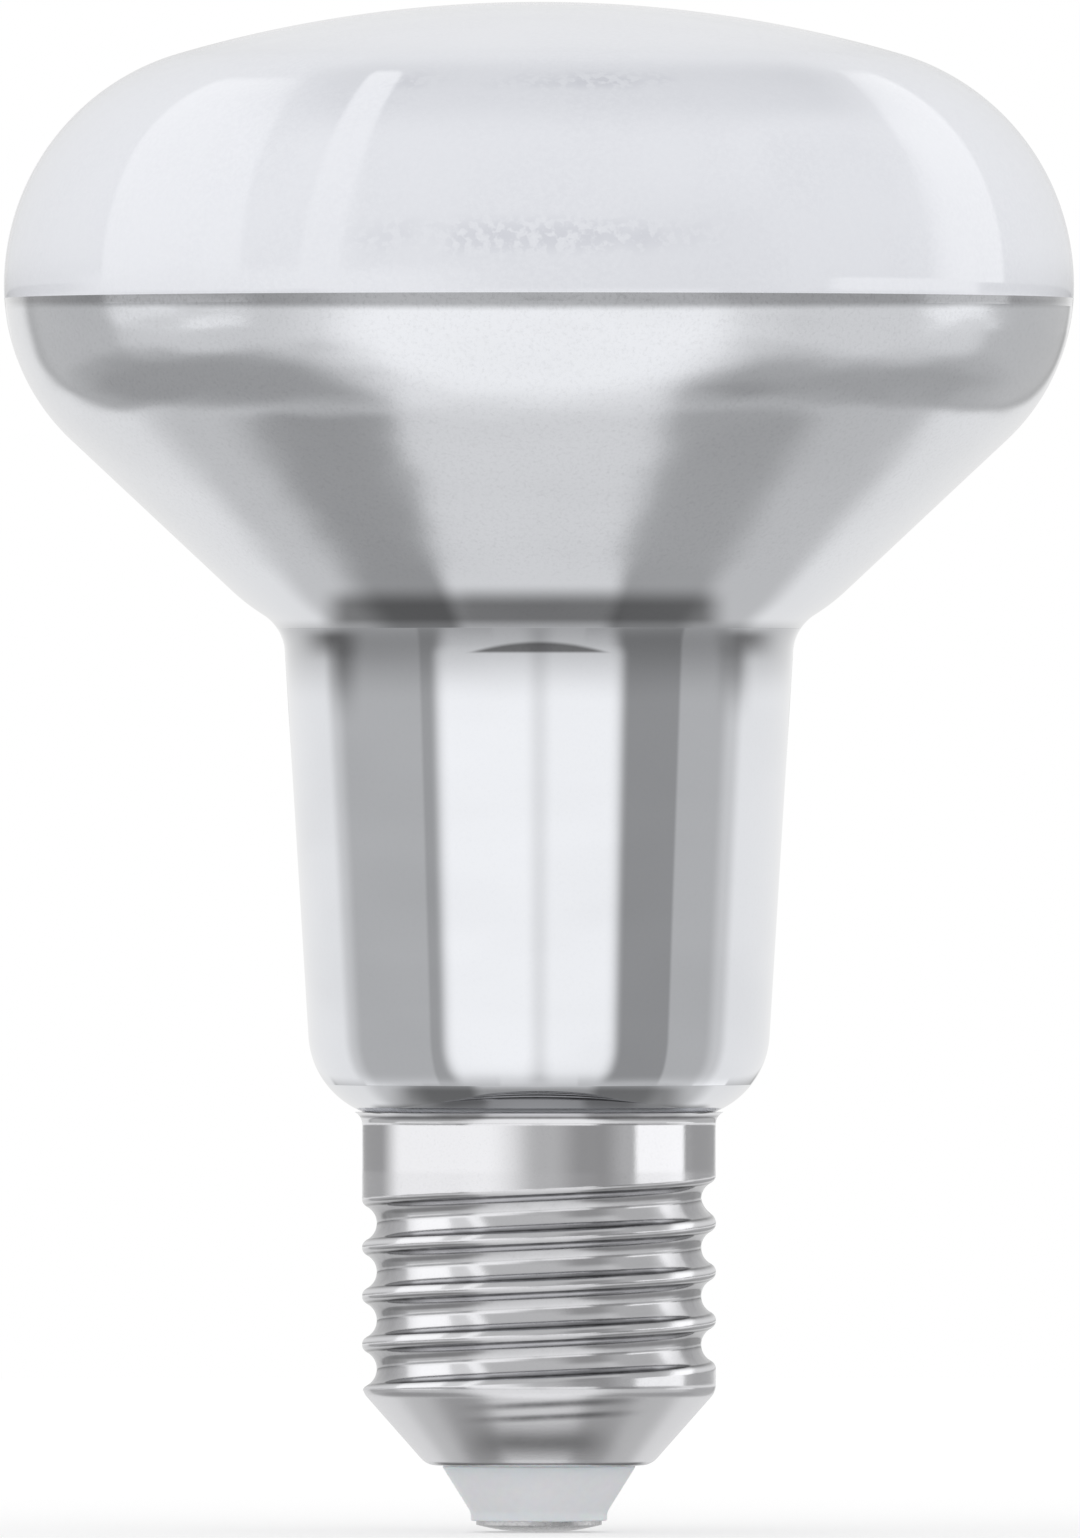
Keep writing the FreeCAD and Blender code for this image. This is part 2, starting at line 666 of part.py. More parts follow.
path.radius(first, "sizes.lead_bend_radius")
path.up(first, CENTRE, "sizes.centre_bend_height")
path.smooth(first, START, across, START)
path.smooth(across, END, second, START)
path.radius(second, "sizes.lead_bend_radius")
path.up(second, CENTRE, "sizes.centre_drop_height")
path.smooth(second, END, drop, START)
path.upright(drop)
path.fix_point(drop, END, "0", f"{HEAD_TOP} - sizes.solder_hole_depth")
draw_lead(centre_lead, centre_section, path)

# Side lead: down and outward, square to the shell's cone
side_lead, side_section = lead_body("side_lead", -1)
slant = math.radians(value("sizes.foot_angle"))
weld = (
    -value("sizes.weld_radius - sizes.side_lead_gap * cos(sizes.foot_angle)"),
    value(f"{WELD_HEIGHT} + sizes.side_lead_gap * sin(sizes.foot_angle)"),
)
turn = QUARTER_TURN - slant
setback = bend * math.tan(turn / 2)
corner_y = weld[1] - (weld[0] + pin_x) * math.tan(slant)
outward = Vector(-math.cos(slant), -math.sin(slant), 0)
path = Outline(side_lead, "side_lead_path")
fall = path.line((-pin_x, tube_end), (-pin_x, corner_y + setback))
first = path.arc((-pin_x - bend, corner_y + setback), bend, -turn, 0)
across = path.line((-pin_x + setback * outward.x, corner_y + setback * outward.y), weld)
path.fix_point(fall, START, "-sizes.lead_spacing / 2", TUBE_END)
path.upright(fall)
path.smooth(fall, END, first, END)
path.radius(first, "sizes.lead_bend_radius")
path.smooth(first, START, across, START)
path.slope(across, "180 + sizes.foot_angle")
path.across(across, END, "-(sizes.weld_radius - sizes.side_lead_gap * cos(sizes.foot_angle))")
path.up(across, END, f"{WELD_HEIGHT} + sizes.side_lead_gap * sin(sizes.foot_angle)")
draw_lead(side_lead, side_section, path)


# Check and write the sub-parts

doc.recompute()
failed = [item.Name for item in doc.Objects if {"Invalid", "Error"} & set(item.State)]
if failed:
    raise RuntimeError("failed objects: " + ", ".join(failed))

pieces = [glass_bulb, basing_cement, screw_shell, insulator, centre_contact, centre_lead, side_lead]
for piece in pieces:
    if piece.Shape.isNull() or not piece.Shape.isValid() or len(piece.Shape.Solids) != 1:
        raise RuntimeError("bad shape: " + piece.Label)

os.makedirs("parts", exist_ok=True)
for piece in pieces:
    piece.Shape.exportStep(f"parts/{piece.Label}.step")
    print(f"{piece.Label}: {piece.Shape.Volume:.2f} cubic millimetres")
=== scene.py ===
"""Looks of a reflector lamp: mirrored and frosted glass on a rolled screw cap, in a plain white studio."""

import logging
import math
from abc import ABC, abstractmethod
from dataclasses import dataclass
from enum import Enum
from functools import reduce
from typing import Any, ClassVar

import bpy
import numpy as np
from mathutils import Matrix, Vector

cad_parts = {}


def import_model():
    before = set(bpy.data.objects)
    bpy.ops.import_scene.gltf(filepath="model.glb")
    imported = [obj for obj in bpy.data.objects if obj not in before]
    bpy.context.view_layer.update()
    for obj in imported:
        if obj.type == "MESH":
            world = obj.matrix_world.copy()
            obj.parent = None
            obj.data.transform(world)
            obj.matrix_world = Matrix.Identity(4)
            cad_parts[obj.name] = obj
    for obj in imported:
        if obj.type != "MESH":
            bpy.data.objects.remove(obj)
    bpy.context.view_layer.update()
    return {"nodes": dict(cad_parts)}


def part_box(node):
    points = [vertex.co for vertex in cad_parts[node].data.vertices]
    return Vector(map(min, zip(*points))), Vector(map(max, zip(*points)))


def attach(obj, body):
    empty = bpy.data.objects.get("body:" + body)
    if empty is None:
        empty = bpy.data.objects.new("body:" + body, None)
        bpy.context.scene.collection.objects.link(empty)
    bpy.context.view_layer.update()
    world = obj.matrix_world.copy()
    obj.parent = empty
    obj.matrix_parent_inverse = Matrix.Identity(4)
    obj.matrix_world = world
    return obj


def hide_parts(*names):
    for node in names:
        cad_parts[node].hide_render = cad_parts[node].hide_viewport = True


MM = 0.001
FULL_TURN = 2 * math.pi
ON_AXIS = 1e-9
SAME_PLACE = 1e-7
WHITE = (1.0, 1.0, 1.0)
TO_CAMERA = (0.0, -1.0, 0.0)

Piece = bpy.types.Object
Socket = bpy.types.NodeSocket
Point = tuple[float, float]
Span = tuple[float, float]
Face = tuple[int, ...]
Colour = tuple[float, float, float]
# A step runs from 0 at its first value to 1 at its second. A hill is 1 at its middle value and 0 at its ends.
Step = tuple[float, float]
Hill = tuple[float, float, float]
# A line is a slope and a start. A relief is a depth in metres and the share of it that shows.
Line = tuple[float, float]
Relief = tuple[float, float]


class Slot(Enum):
    """Material slots of the record."""

    MIRROR = "mirrored_glass"
    FROST = "frosted_glass"
    SHELL = "shell_metal"
    INSULATOR = "white_insulator"
    CONTACT = "contact_metal"


def linear(shown: float) -> float:
    """Linear light of a tone from 0 to 255 as a picture shows it."""
    tone = shown / 255
    return tone / 12.92 if tone <= 0.04045 else ((tone + 0.055) / 1.055) ** 2.4


def tint(red: float, green: float, blue: float) -> Colour:
    """Linear colour of three tones from 0 to 255."""
    return linear(red), linear(green), linear(blue)


@dataclass(frozen=True)
class Grain:
    """Cloudy noise, by its grains to the metre, its finer layers and their strength."""

    scale: float
    layers: float
    strength: float


class Graph:
    """Node tree of a material or a world, with short calls for the nodes in use."""

    def __init__(self, owner: bpy.types.ID) -> None:
        """Takes the node tree of a material or a world and empties it."""
        owner.use_nodes = True
        self.tree = owner.node_tree
        self.tree.nodes.clear()

    def feed(self, target: Socket, source: Any) -> None:
        """Links a socket to an output, or gives it a plain value.

        Args:
            target: Input socket.
            source: Output socket, number or colour.
        """
        if isinstance(source, Socket):
            self.tree.links.new(source, target)
        elif isinstance(source, tuple) and len(target.default_value) > len(source):
            target.default_value = (*source, 1.0)
        else:
            target.default_value = source

    def add(self, kind: str, sources: dict[Any, Any] | None = None, **settings: Any) -> bpy.types.Node:
        """Adds a node.

        Args:
            kind: Type name of the node.
            sources: What its inputs are fed with, under their names or numbers.
            **settings: Properties to set on it.

        Returns:
            The new node.
        """
        node = self.tree.nodes.new(kind)
        for name, setting in settings.items():
            setattr(node, name, setting)
        for name, source in (sources or {}).items():
            self.feed(node.inputs[name], source)
        return node

    def place(self) -> Socket:
        """Coordinates on the object, in metres."""
        return self.add("ShaderNodeTexCoord").outputs["Object"]

    def split(self, vector: Any) -> list[Socket]:
        """The three parts of a vector."""
        return list(self.add("ShaderNodeSeparateXYZ", {0: vector}).outputs)

    def vector(self, operation: str, *vectors: Any) -> bpy.types.Node:
        """Node that does one operation on vectors."""
        return self.add("ShaderNodeVectorMath", dict(enumerate(vectors)), operation=operation)

    def reach(self, place: Any) -> Socket:
        """Distance of a place from the lamp's axis."""
        level = self.vector("MULTIPLY", place, (1.0, 1.0, 0.0)).outputs[0]
        return self.vector("LENGTH", level).outputs["Value"]

    def math(self, operation: str, *values: Any) -> Socket:
        """Result of one operation on sockets or numbers."""
        return self.add("ShaderNodeMath", dict(enumerate(values)), operation=operation).outputs[0]

    def size(self, value: Any) -> Socket:
        """A value without its sign."""
        return self.math("ABSOLUTE", value)

    def times(self, *factors: Any) -> Socket:
        """Product of sockets or numbers."""
        return reduce(lambda first, second: self.math("MULTIPLY", first, second), factors)

    def most(self, *values: Any) -> Socket:
        """Largest of sockets or numbers."""
        return reduce(lambda first, second: self.math("MAXIMUM", first, second), values)

    def line(self, value: Any, slope: Any, start: Any) -> Socket:
        """A start, with the value times a slope added to it."""
        return self.math("MULTIPLY_ADD", value, slope, start)

    def vary(self, noise: Any, spread: float, middle: Any) -> Socket:
        """Value about a middle, spread by a noise about 0.5."""
        return self.line(self.math("SUBTRACT", noise, 0.5), spread, middle)

    def rise(self, value: Any, low: float, high: float) -> Socket:
        """Smooth step from 0 at low to 1 at high, which may be the lower of the two."""
        limits = {"Value": value, "From Min": low, "From Max": high}
        return self.add("ShaderNodeMapRange", limits, interpolation_type="SMOOTHSTEP").outputs[0]

    def hill(self, value: Any, low: float, peak: float, high: float) -> Socket:
        """Smooth rise from 0 at low to 1 at the peak, and fall to 0 at high."""
        return self.times(self.rise(value, low, peak), self.rise(value, high, peak))

    def blend(self, factor: Any, first: Any, second: Any) -> Socket:
        """Number between two others: the first where the factor is 0, the second where it is 1."""
        return self.add("ShaderNodeMix", {0: factor, 2: first, 3: second}, data_type="FLOAT").outputs[0]

    def blend_colour(self, factor: Any, first: Any, second: Any) -> Socket:
        """Colour between two others: the first where the factor is 0, the second where it is 1."""
        return self.add("ShaderNodeMix", {0: factor, 6: first, 7: second}, data_type="RGBA").outputs[2]

    def blend_shader(self, factor: Any, first: Any, second: Any) -> Socket:
        """Surface between two shaders: the first where the factor is 0, the second where it is 1."""
        return self.add("ShaderNodeMixShader", {0: factor, 1: first, 2: second}).outputs[0]

    def noise(self, place: Any, grain: Grain) -> Socket:
        """Cloudy noise about 0.5, from coordinates in metres."""
        sources = {"Vector": place, "Scale": grain.scale, "Detail": grain.layers, "Roughness": grain.strength}
        return self.add("ShaderNodeTexNoise", sources).outputs["Fac"]

    def bump(self, height: Any, depth: float, strength: Any, under: Any = None) -> Socket:
        """Bumped normal.

        Args:
            height: Factor from 0 to 1.
            depth: Height in metres that 1 stands for.
            strength: Share of the bump that shows.
            under: Normal that it is laid over, where that isn't the surface's own.

        Returns:
            The normal.
        """
        sources = {"Height": height, "Distance": depth, "Strength": strength}
        if under is not None:
            sources["Normal"] = under
        return self.add("ShaderNodeBump", sources).outputs[0]


class Finish(ABC):
    """A finish of the lamp, made with the principled shader."""

    name: ClassVar[str]

    @abstractmethod
    def sources(self, graph: Graph, place: Any) -> dict[str, Any]:
        """What feeds the shader's sockets, from the coordinates on the object."""

    def build(self) -> bpy.types.Material:
        """Makes the material.

        Returns:
            The material with its shader.
        """
        material = bpy.data.materials.new(self.name)
        graph = Graph(material)
        shader = graph.add("ShaderNodeBsdfPrincipled", self.sources(graph, graph.place()))
        graph.add("ShaderNodeOutputMaterial", {"Surface": shader.outputs[0]})
        return material


@dataclass(frozen=True)
class FrostedGlass(Finish):
    """White frost on the inside of clear, glossy glass, gritty in two rings."""

    name: ClassVar[str] = "frosted_glass"
    frost: Colour = tint(240, 242, 248)
    shade: Colour = tint(221, 223, 231)
    rings: tuple[Hill, ...] = ((94.2 * MM, 96.4 * MM, 98.8 * MM), (106.9 * MM, 108.0 * MM, 109.2 * MM))
    grit: Grain = Grain(1500.0, 2.0, 0.55)
    grit_step: Step = (0.62, 0.44)
    grit_side: Step = (19.0 * MM, 7.0 * MM)
    grain: Grain = Grain(2600.0, 2.0, 0.7)
    speck_step: Step = (0.72, 0.30)
    cloud: Grain = Grain(90.0, 4.0, 0.6)
    cloud_step: Step = (0.35, 0.65)
    dust: Line = (0.18, 0.08)
    relief: Relief = (0.02 * MM, 0.25)
    roughness: float = 0.55
    gloss: float = 0.02
    gloss_index: float = 1.9

    def sources(self, graph: Graph, place: Any) -> dict[str, Any]:
        """Feeds the frost with specks and two rings of grit, under a clear gloss.

        Args:
            graph: Node tree of the material.
            place: Coordinates on the object.

        Returns:
            Sources under the names of the shader's sockets.
        """
        side, _, height = graph.split(place)
        fine = graph.noise(place, self.grain)
        patch = graph.rise(graph.noise(place, self.cloud), *self.cloud_step)
        rings = graph.most(*(graph.hill(height, *ring) for ring in self.rings))
        rings = graph.times(rings, patch, graph.rise(graph.size(side), *self.grit_side))
        grit = graph.times(rings, graph.rise(graph.noise(place, self.grit), *self.grit_step))
        specks = graph.times(graph.rise(fine, *self.speck_step), graph.line(patch, *self.dust))
        return {
            "Base Color": graph.blend_colour(graph.most(specks, grit), self.frost, self.shade),
            "Roughness": self.roughness,
            "Normal": graph.bump(fine, *self.relief),
            "Coat Weight": 1.0,
            "Coat Roughness": self.gloss,
            "Coat IOR": self.gloss_index,
        }


@dataclass(frozen=True)
class MirrorCoat(Finish):
    """Aluminium coat behind clear glass, sandy on the bowl and cone and clean on the neck, with painted shade
    and painted dark reflections at its upper edge, in the throat, on the neck and at the neck's foot.
    """

    name: ClassVar[str] = "mirrored_glass"
    metal: Colour = (0.84, 0.855, 0.89)
    dark: Colour = (0.03, 0.03, 0.032)
    # Painted shade and painted dark reflections that darken the mirror: the ring at its upper edge, the band
    # in the throat, the shade on the neck, the crease, wedges and tails on the neck, and the shade at the
    # neck's foot.
    ring: Step = (90.8 * MM, 91.5 * MM)
    ring_rise: float = 0.31
    ring_depth: float = 0.52
    band_foot: Step = (67.3 * MM, 68.3 * MM)
    band_head: Step = (70.9 * MM, 69.1 * MM)
    band_side: Step = (15.6 * MM, 13.0 * MM)
    band_shift: float = 1.1 * MM
    band_depth: float = 0.75
    band_middle: Step = (6.8 * MM, 4.6 * MM)
    middle_depth: float = 0.25
    neck_shade: Step = (61.8 * MM, 66.9 * MM)
    neck_depth: float = 0.45
    crease_foot: Step = (65.6 * MM, 65.85 * MM)
    crease_head: Step = (66.65 * MM, 66.3 * MM)
    crease_drop: float = 30.0
    crease_depth: float = 0.8
    wedge: Hill = (12.6 * MM, 15.6 * MM, 18.4 * MM)
    wedge_height: Hill = (64.9 * MM, 66.8 * MM, 67.7 * MM)
    wedge_depth: float = 0.74
    tail: Hill = (12.9 * MM, 14.7 * MM, 16.2 * MM)
    tail_height: Hill = (59.8 * MM, 65.4 * MM, 67.4 * MM)
    tail_depth: float = 0.5
    foot_shade: Step = (33.8 * MM, 33.0 * MM)
    foot_side: Step = (11.8 * MM, 9.2 * MM)
    foot_depth: float = 0.62
    bare: Step = (31.9 * MM, 31.4 * MM)
    sand_start: Step = (70.0 * MM, 73.0 * MM)
    sand: Grain = Grain(3200.0, 3.0, 0.75)
    sand_step: Step = (0.45, 0.8)
    sand_dust: Line = (0.09, 0.02)
    sand_depth: float = 0.04 * MM
    sand_show: Line = (0.06, 0.004)
    wave: Grain = Grain(55.0, 2.0, 0.5)
    wave_squash: tuple[float, float, float] = (1.0, 1.0, 2.6)
    wave_step: Step = (0.35, 0.75)
    wave_dust: float = 0.05
    wave_depth: float = 0.3 * MM
    wave_show: Line = (0.96, 0.04)
    neck_roughness: float = 0.035
    bowl_roughness: float = 0.15
    roughness_spread: float = 0.05
    gloss: float = 0.02
    gloss_index: float = 1.5

    def painted_shade_factor(self, graph: Graph, side: Any, height: Any) -> Socket:
        """Share of its brightness that the coat keeps under painted shade at a place.

        Args:
            graph: Node tree of the material.
            side: How far right of the axis the place is.
            height: How high it is.

        Returns:
            1 where nothing is painted, and less under painted shade at its upper edge, in the throat, on the
            neck and at the neck's foot, and under painted dark reflections on the neck.
        """
        aside = graph.size(side)
        square = graph.times(aside, aside)
        edge = graph.rise(graph.line(square, -self.ring_rise, height), *self.ring)
        above_neck = graph.rise(height, *self.band_foot)
        band = graph.times(above_neck, graph.rise(height, *self.band_head))
        from_middle = graph.size(graph.math("ADD", side, self.band_shift))
        arched = graph.line(square, self.crease_drop, height)
        crease = graph.times(graph.rise(height, *self.crease_foot), graph.rise(arched, *self.crease_head))
        wedge = graph.times(graph.hill(aside, *self.wedge), graph.hill(height, *self.wedge_height))
        tail = graph.times(graph.hill(aside, *self.tail), graph.hill(height, *self.tail_height))
        foot = graph.times(graph.rise(height, *self.foot_shade), graph.rise(aside, *self.foot_side))
        # Each is painted shade or a painted dark reflection, with the share of brightness that it takes.
        shades = (
            (edge, self.ring_depth),
            (graph.times(band, graph.rise(from_middle, *self.band_side)), self.band_depth),
            (graph.times(band, graph.rise(aside, *self.band_middle)), self.middle_depth),
            (graph.rise(height, *self.neck_shade), self.neck_depth),
            # The neck's shade is taken back above the neck.
            (above_neck, -self.neck_depth / (1 - self.neck_depth)),
            (crease, self.crease_depth),
            (wedge, self.wedge_depth),
            (tail, self.tail_depth),
            (foot, self.foot_depth),
        )
        return graph.times(*(graph.line(shade, -depth, 1.0) for shade, depth in shades))

    def sources(self, graph: Graph, place: Any) -> dict[str, Any]:
        """Feeds the coat with painted shade and painted dark reflections, its sand and its slow waves, and
        leaves the tube bare.

        Args:
            graph: Node tree of the material.
            place: Coordinates on the object.

        Returns:
            Sources under the names of the shader's sockets.
        """
        side, _, height = graph.split(place)
        sandy = graph.rise(height, *self.sand_start)
        bare = graph.rise(height, *self.bare)
        sand = graph.noise(place, self.sand)
        wave = graph.noise(graph.vector("MULTIPLY", place, self.wave_squash).outputs[0], self.wave)
        dust = graph.times(graph.rise(sand, *self.sand_step), graph.line(sandy, *self.sand_dust))
        dust = graph.line(graph.rise(wave, *self.wave_step), self.wave_dust, dust)
        # The mirror darkens under the painted shade and painted dark reflections, and under the sand's and
        # the waves' dust.
        painted_shade_and_dust = graph.most(graph.math("SUBTRACT", self.painted_shade_factor(graph, side, height), dust), bare)
        polish = graph.blend(sandy, self.neck_roughness, self.bowl_roughness)
        waves = graph.bump(wave, self.wave_depth, graph.line(sandy, *self.wave_show))
        return {
            "Base Color": graph.blend_colour(painted_shade_and_dust, self.dark, self.metal),
            "Metallic": graph.math("SUBTRACT", 1.0, bare),
            "Roughness": graph.vary(sand, self.roughness_spread, polish),
            "Normal": graph.bump(sand, self.sand_depth, graph.line(sandy, *self.sand_show), waves),
            "Coat Weight": 1.0,
            "Coat Roughness": self.gloss,
            "Coat IOR": self.gloss_index,
        }


@dataclass(frozen=True)
class RolledNickel(Finish):
    """Satin nickel on rolled sheet, with painted shade along the thread and under the lip and painted dark
    reflections on the foot cone.
    """

    name: ClassVar[str] = "rolled_nickel"
    metal: Colour = (0.79, 0.79, 0.81)
    # This dark colour is painted shade along the thread, on faces turned down, in the grooves at the thread's
    # ends and under the lip, painted dark reflections on the foot cone, and specks from the grain.
    shade_and_speck: Colour = (0.08, 0.08, 0.085)
    thread_start: Step = (10.2 * MM, 11.0 * MM)
    skirt_end: Step = (27.3 * MM, 26.7 * MM)
    flank: Hill = (12.6 * MM, 12.92 * MM, 13.2 * MM)
    flank_shade: float = 0.95
    underside: Step = (0.10, -0.45)
    underside_shade: float = 0.3
    flank_end: Step = (8.6 * MM, 11.4 * MM)
    groove: Step = (13.2 * MM, 12.9 * MM)
    groove_shade: float = 0.55
    lip: Hill = (30.9 * MM, 31.08 * MM, 31.28 * MM)
    lip_shade: float = 0.7
    streaks: tuple[Hill, ...] = ((8.3 * MM, 8.75 * MM, 9.1 * MM), (9.25 * MM, 9.7 * MM, 10.1 * MM))
    streak_slope: float = -0.045
    streak_middle: float = 1.0 * MM
    streak_side: Step = (7.5 * MM, 2.0 * MM)
    painted_streak_strength: float = 0.7
    grain: Grain = Grain(5200.0, 3.0, 0.7)
    grain_step: Step = (0.5, 0.85)
    grain_speck: float = 0.08
    cloud: Grain = Grain(700.0, 3.0, 0.6)
    cloud_shade_spread: Line = (0.5, 0.75)
    relief: Relief = (0.02 * MM, 0.12)
    skirt_roughness: float = 0.09
    thread_roughness: float = 0.14
    foot_roughness: float = 0.22
    roughness_spread: float = 0.06

    def painted_shade_cover(self, graph: Graph, place: Any, on_thread: Any) -> Socket:
        """Cover of the painted shade and the painted dark reflections.

        Args:
            graph: Node tree of the material.
            place: Coordinates on the shell.
            on_thread: Factor that is 1 on the thread.

        Returns:
            0 on bright metal and 1 under full painted shade.
        """
        side, _, height = graph.split(place)
        facing = graph.split(graph.add("ShaderNodeNewGeometry").outputs["Normal"])[2]
        reach = graph.reach(place)
        # Painted shade along the crests' flanks, on faces turned down and in the grooves near the thread's
        # ends.
        flank = graph.times(graph.hill(reach, *self.flank), self.flank_shade)
        under = graph.times(graph.rise(facing, *self.underside), self.underside_shade)
        at_end = graph.rise(graph.size(side), *self.flank_end)
        groove = graph.times(at_end, graph.rise(reach, *self.groove), self.groove_shade)
        thread = graph.times(graph.most(flank, under, groove), on_thread)
        # Painted dark reflections: slanted streaks on the foot cone.
        slanted = graph.line(side, self.streak_slope, height)
        streak = graph.most(*(graph.hill(slanted, *streak) for streak in self.streaks))
        from_middle = graph.size(graph.math("SUBTRACT", side, self.streak_middle))
        streak = graph.times(streak, self.painted_streak_strength, graph.rise(from_middle, *self.streak_side))
        # The lip's hill is painted shade under the lip.
        return graph.most(thread, graph.times(graph.hill(height, *self.lip), self.lip_shade), streak)

    def sources(self, graph: Graph, place: Any) -> dict[str, Any]:
        """Feeds the metal with painted shade, painted dark reflections, specks and its polish, which differs
        on the skirt, the thread and the foot.

        Args:
            graph: Node tree of the material.
            place: Coordinates on the object.

        Returns:
            Sources under the names of the shader's sockets.
        """
        height = graph.split(place)[2]
        grain = graph.noise(place, self.grain)
        above_foot = graph.rise(height, *self.thread_start)
        below_skirt = graph.rise(height, *self.skirt_end)
        # Painted shade and painted dark reflections, made patchy by the cloud, with specks from the grain.
        shade_and_speck = self.painted_shade_cover(graph, place, graph.times(above_foot, below_skirt))
        shade_and_speck = graph.times(shade_and_speck, graph.line(graph.noise(place, self.cloud), *self.cloud_shade_spread))
        shade_and_speck = graph.line(graph.rise(grain, *self.grain_step), self.grain_speck, shade_and_speck)
        polish = graph.blend(below_skirt, self.skirt_roughness, self.thread_roughness)
        polish = graph.blend(above_foot, self.foot_roughness, polish)
        return {
            "Base Color": graph.blend_colour(shade_and_speck, self.metal, self.shade_and_speck),
            "Metallic": 1.0,
            "Roughness": graph.vary(grain, self.roughness_spread, polish),
            "Normal": graph.bump(grain, *self.relief),
        }


@dataclass(frozen=True)
class WhiteMoulding(Finish):
    """Slightly translucent white moulding."""

    name: ClassVar[str] = "white_moulding"
    body: Colour = tint(246, 247, 250)
    dull: Colour = tint(238, 239, 243)
    grain: Grain = Grain(1800.0, 3.0, 0.6)
    relief: Relief = (0.02 * MM, 0.15)
    roughness: float = 0.34
    index: float = 1.5
    depth_share: float = 0.25
    depth: float = 1.5 * MM

    def sources(self, graph: Graph, place: Any) -> dict[str, Any]:
        """Feeds a pale body that light enters a little.

        Args:
            graph: Node tree of the material.
            place: Coordinates on the object.

        Returns:
            Sources under the names of the shader's sockets.
        """
        grain = graph.noise(place, self.grain)
        return {
            "Base Color": graph.blend_colour(grain, self.body, self.dull),
            "Roughness": self.roughness,
            "IOR": self.index,
            "Subsurface Weight": self.depth_share,
            "Subsurface Scale": self.depth,
            "Normal": graph.bump(grain, *self.relief),
        }


@dataclass(frozen=True)
class DullNickel(Finish):
    """Dull plated pressing with turning marks."""

    name: ClassVar[str] = "dull_nickel"
    metal: Colour = (0.66, 0.66, 0.67)
    worn: Colour = (0.45, 0.45, 0.46)
    worn_step: Step = (0.4, 0.8)
    grain: Grain = Grain(3000.0, 3.0, 0.7)
    rings: float = 5200.0
    ring_wave: Line = (0.5, 0.5)
    ring_share: float = 0.4
    relief: Relief = (0.02 * MM, 0.2)
    roughness: Line = (0.2, 0.2)

    def sources(self, graph: Graph, place: Any) -> dict[str, Any]:
        """Feeds the metal with worn patches and with marks in rings about the axis.

        Args:
            graph: Node tree of the material.
            place: Coordinates on the object.

        Returns:
            Sources under the names of the shader's sockets.
        """
        grain = graph.noise(place, self.grain)
        phase = graph.times(graph.reach(place), self.rings * FULL_TURN)
        marks = graph.line(graph.math("SINE", phase), *self.ring_wave)
        worn = graph.rise(grain, *self.worn_step)
        return {
            "Base Color": graph.blend_colour(worn, self.metal, self.worn),
            "Metallic": 1.0,
            "Roughness": graph.line(grain, *self.roughness),
            "Normal": graph.bump(graph.line(marks, self.ring_share, grain), *self.relief),
        }


@dataclass(frozen=True)
class BasingCement(Finish):
    """Dry, matt bonding cement."""

    name: ClassVar[str] = "basing_cement"
    body: Colour = tint(205, 197, 182)
    dust: Colour = tint(176, 166, 148)
    grain: Grain = Grain(1500.0, 5.0, 0.7)
    relief: Relief = (0.1 * MM, 0.6)
    roughness: float = 0.95

    def sources(self, graph: Graph, place: Any) -> dict[str, Any]:
        """Feeds a coarse, dusty body.

        Args:
            graph: Node tree of the material.
            place: Coordinates on the object.

        Returns:
            Sources under the names of the shader's sockets.
        """
        grain = graph.noise(place, self.grain)
        return {
            "Base Color": graph.blend_colour(grain, self.body, self.dust),
            "Roughness": self.roughness,
            "Normal": graph.bump(grain, *self.relief),
        }


@dataclass(frozen=True)
class LeadWire(Finish):
    """Bare copper-clad wire with a drawn surface."""

    name: ClassVar[str] = "lead_wire"
    metal: Colour = (0.86, 0.60, 0.42)
    oxide: Colour = (0.45, 0.26, 0.16)
    oxide_step: Step = (0.45, 0.8)
    grain: Grain = Grain(2500.0, 3.0, 0.6)
    roughness: Line = (0.2, 0.2)

    def sources(self, graph: Graph, place: Any) -> dict[str, Any]:
        """Feeds bright metal with patches of oxide.

        Args:
            graph: Node tree of the material.
            place: Coordinates on the object.

        Returns:
            Sources under the names of the shader's sockets.
        """
        grain = graph.noise(place, self.grain)
        return {
            "Base Color": graph.blend_colour(graph.rise(grain, *self.oxide_step), self.metal, self.oxide),
            "Metallic": 1.0,
            "Roughness": graph.line(grain, *self.roughness),
        }


def polar(centre: Point, radius: float, angle: float) -> Point:
    """Point at a distance from a centre, its angle in degrees from the outward direction, up positive."""
    turn = math.radians(angle)
    return centre[0] + radius * math.cos(turn), centre[1] + radius * math.sin(turn)


def arc(centre: Point, radius: float, start: float, end: float, steps: int) -> list[Point]:
    """Points along a round stretch of an outline, both ends among them."""
    return [polar(centre, radius, start + (end - start) * i / steps) for i in range(steps + 1)]


def straight(start: Point, end: Point, steps: int) -> list[Point]:
    """Points along a straight stretch of an outline, both ends among them."""
    return [tuple(start[k] + (end[k] - start[k]) * i / steps for k in (0, 1)) for i in range(steps + 1)]


def chain(*stretches: list[Point]) -> list[Point]:
    """One outline from stretches that meet end to start.

    Args:
        *stretches: Lists of points.

    Returns:
        The points, each meeting point once.
    """
    points = list(stretches[0])
    for stretch in stretches[1:]:
        points += [p for i, p in enumerate(stretch) if i or math.dist(p, points[-1]) > SAME_PLACE]
    return points


def circle(radius: Any, height: float, around: int) -> np.ndarray:
    """Vertices round the lamp's axis, at one radius or at one for each of them."""
    angles = np.arange(around) * FULL_TURN / around
    return np.stack([radius * np.cos(angles), radius * np.sin(angles), np.full(around, height)], 1)


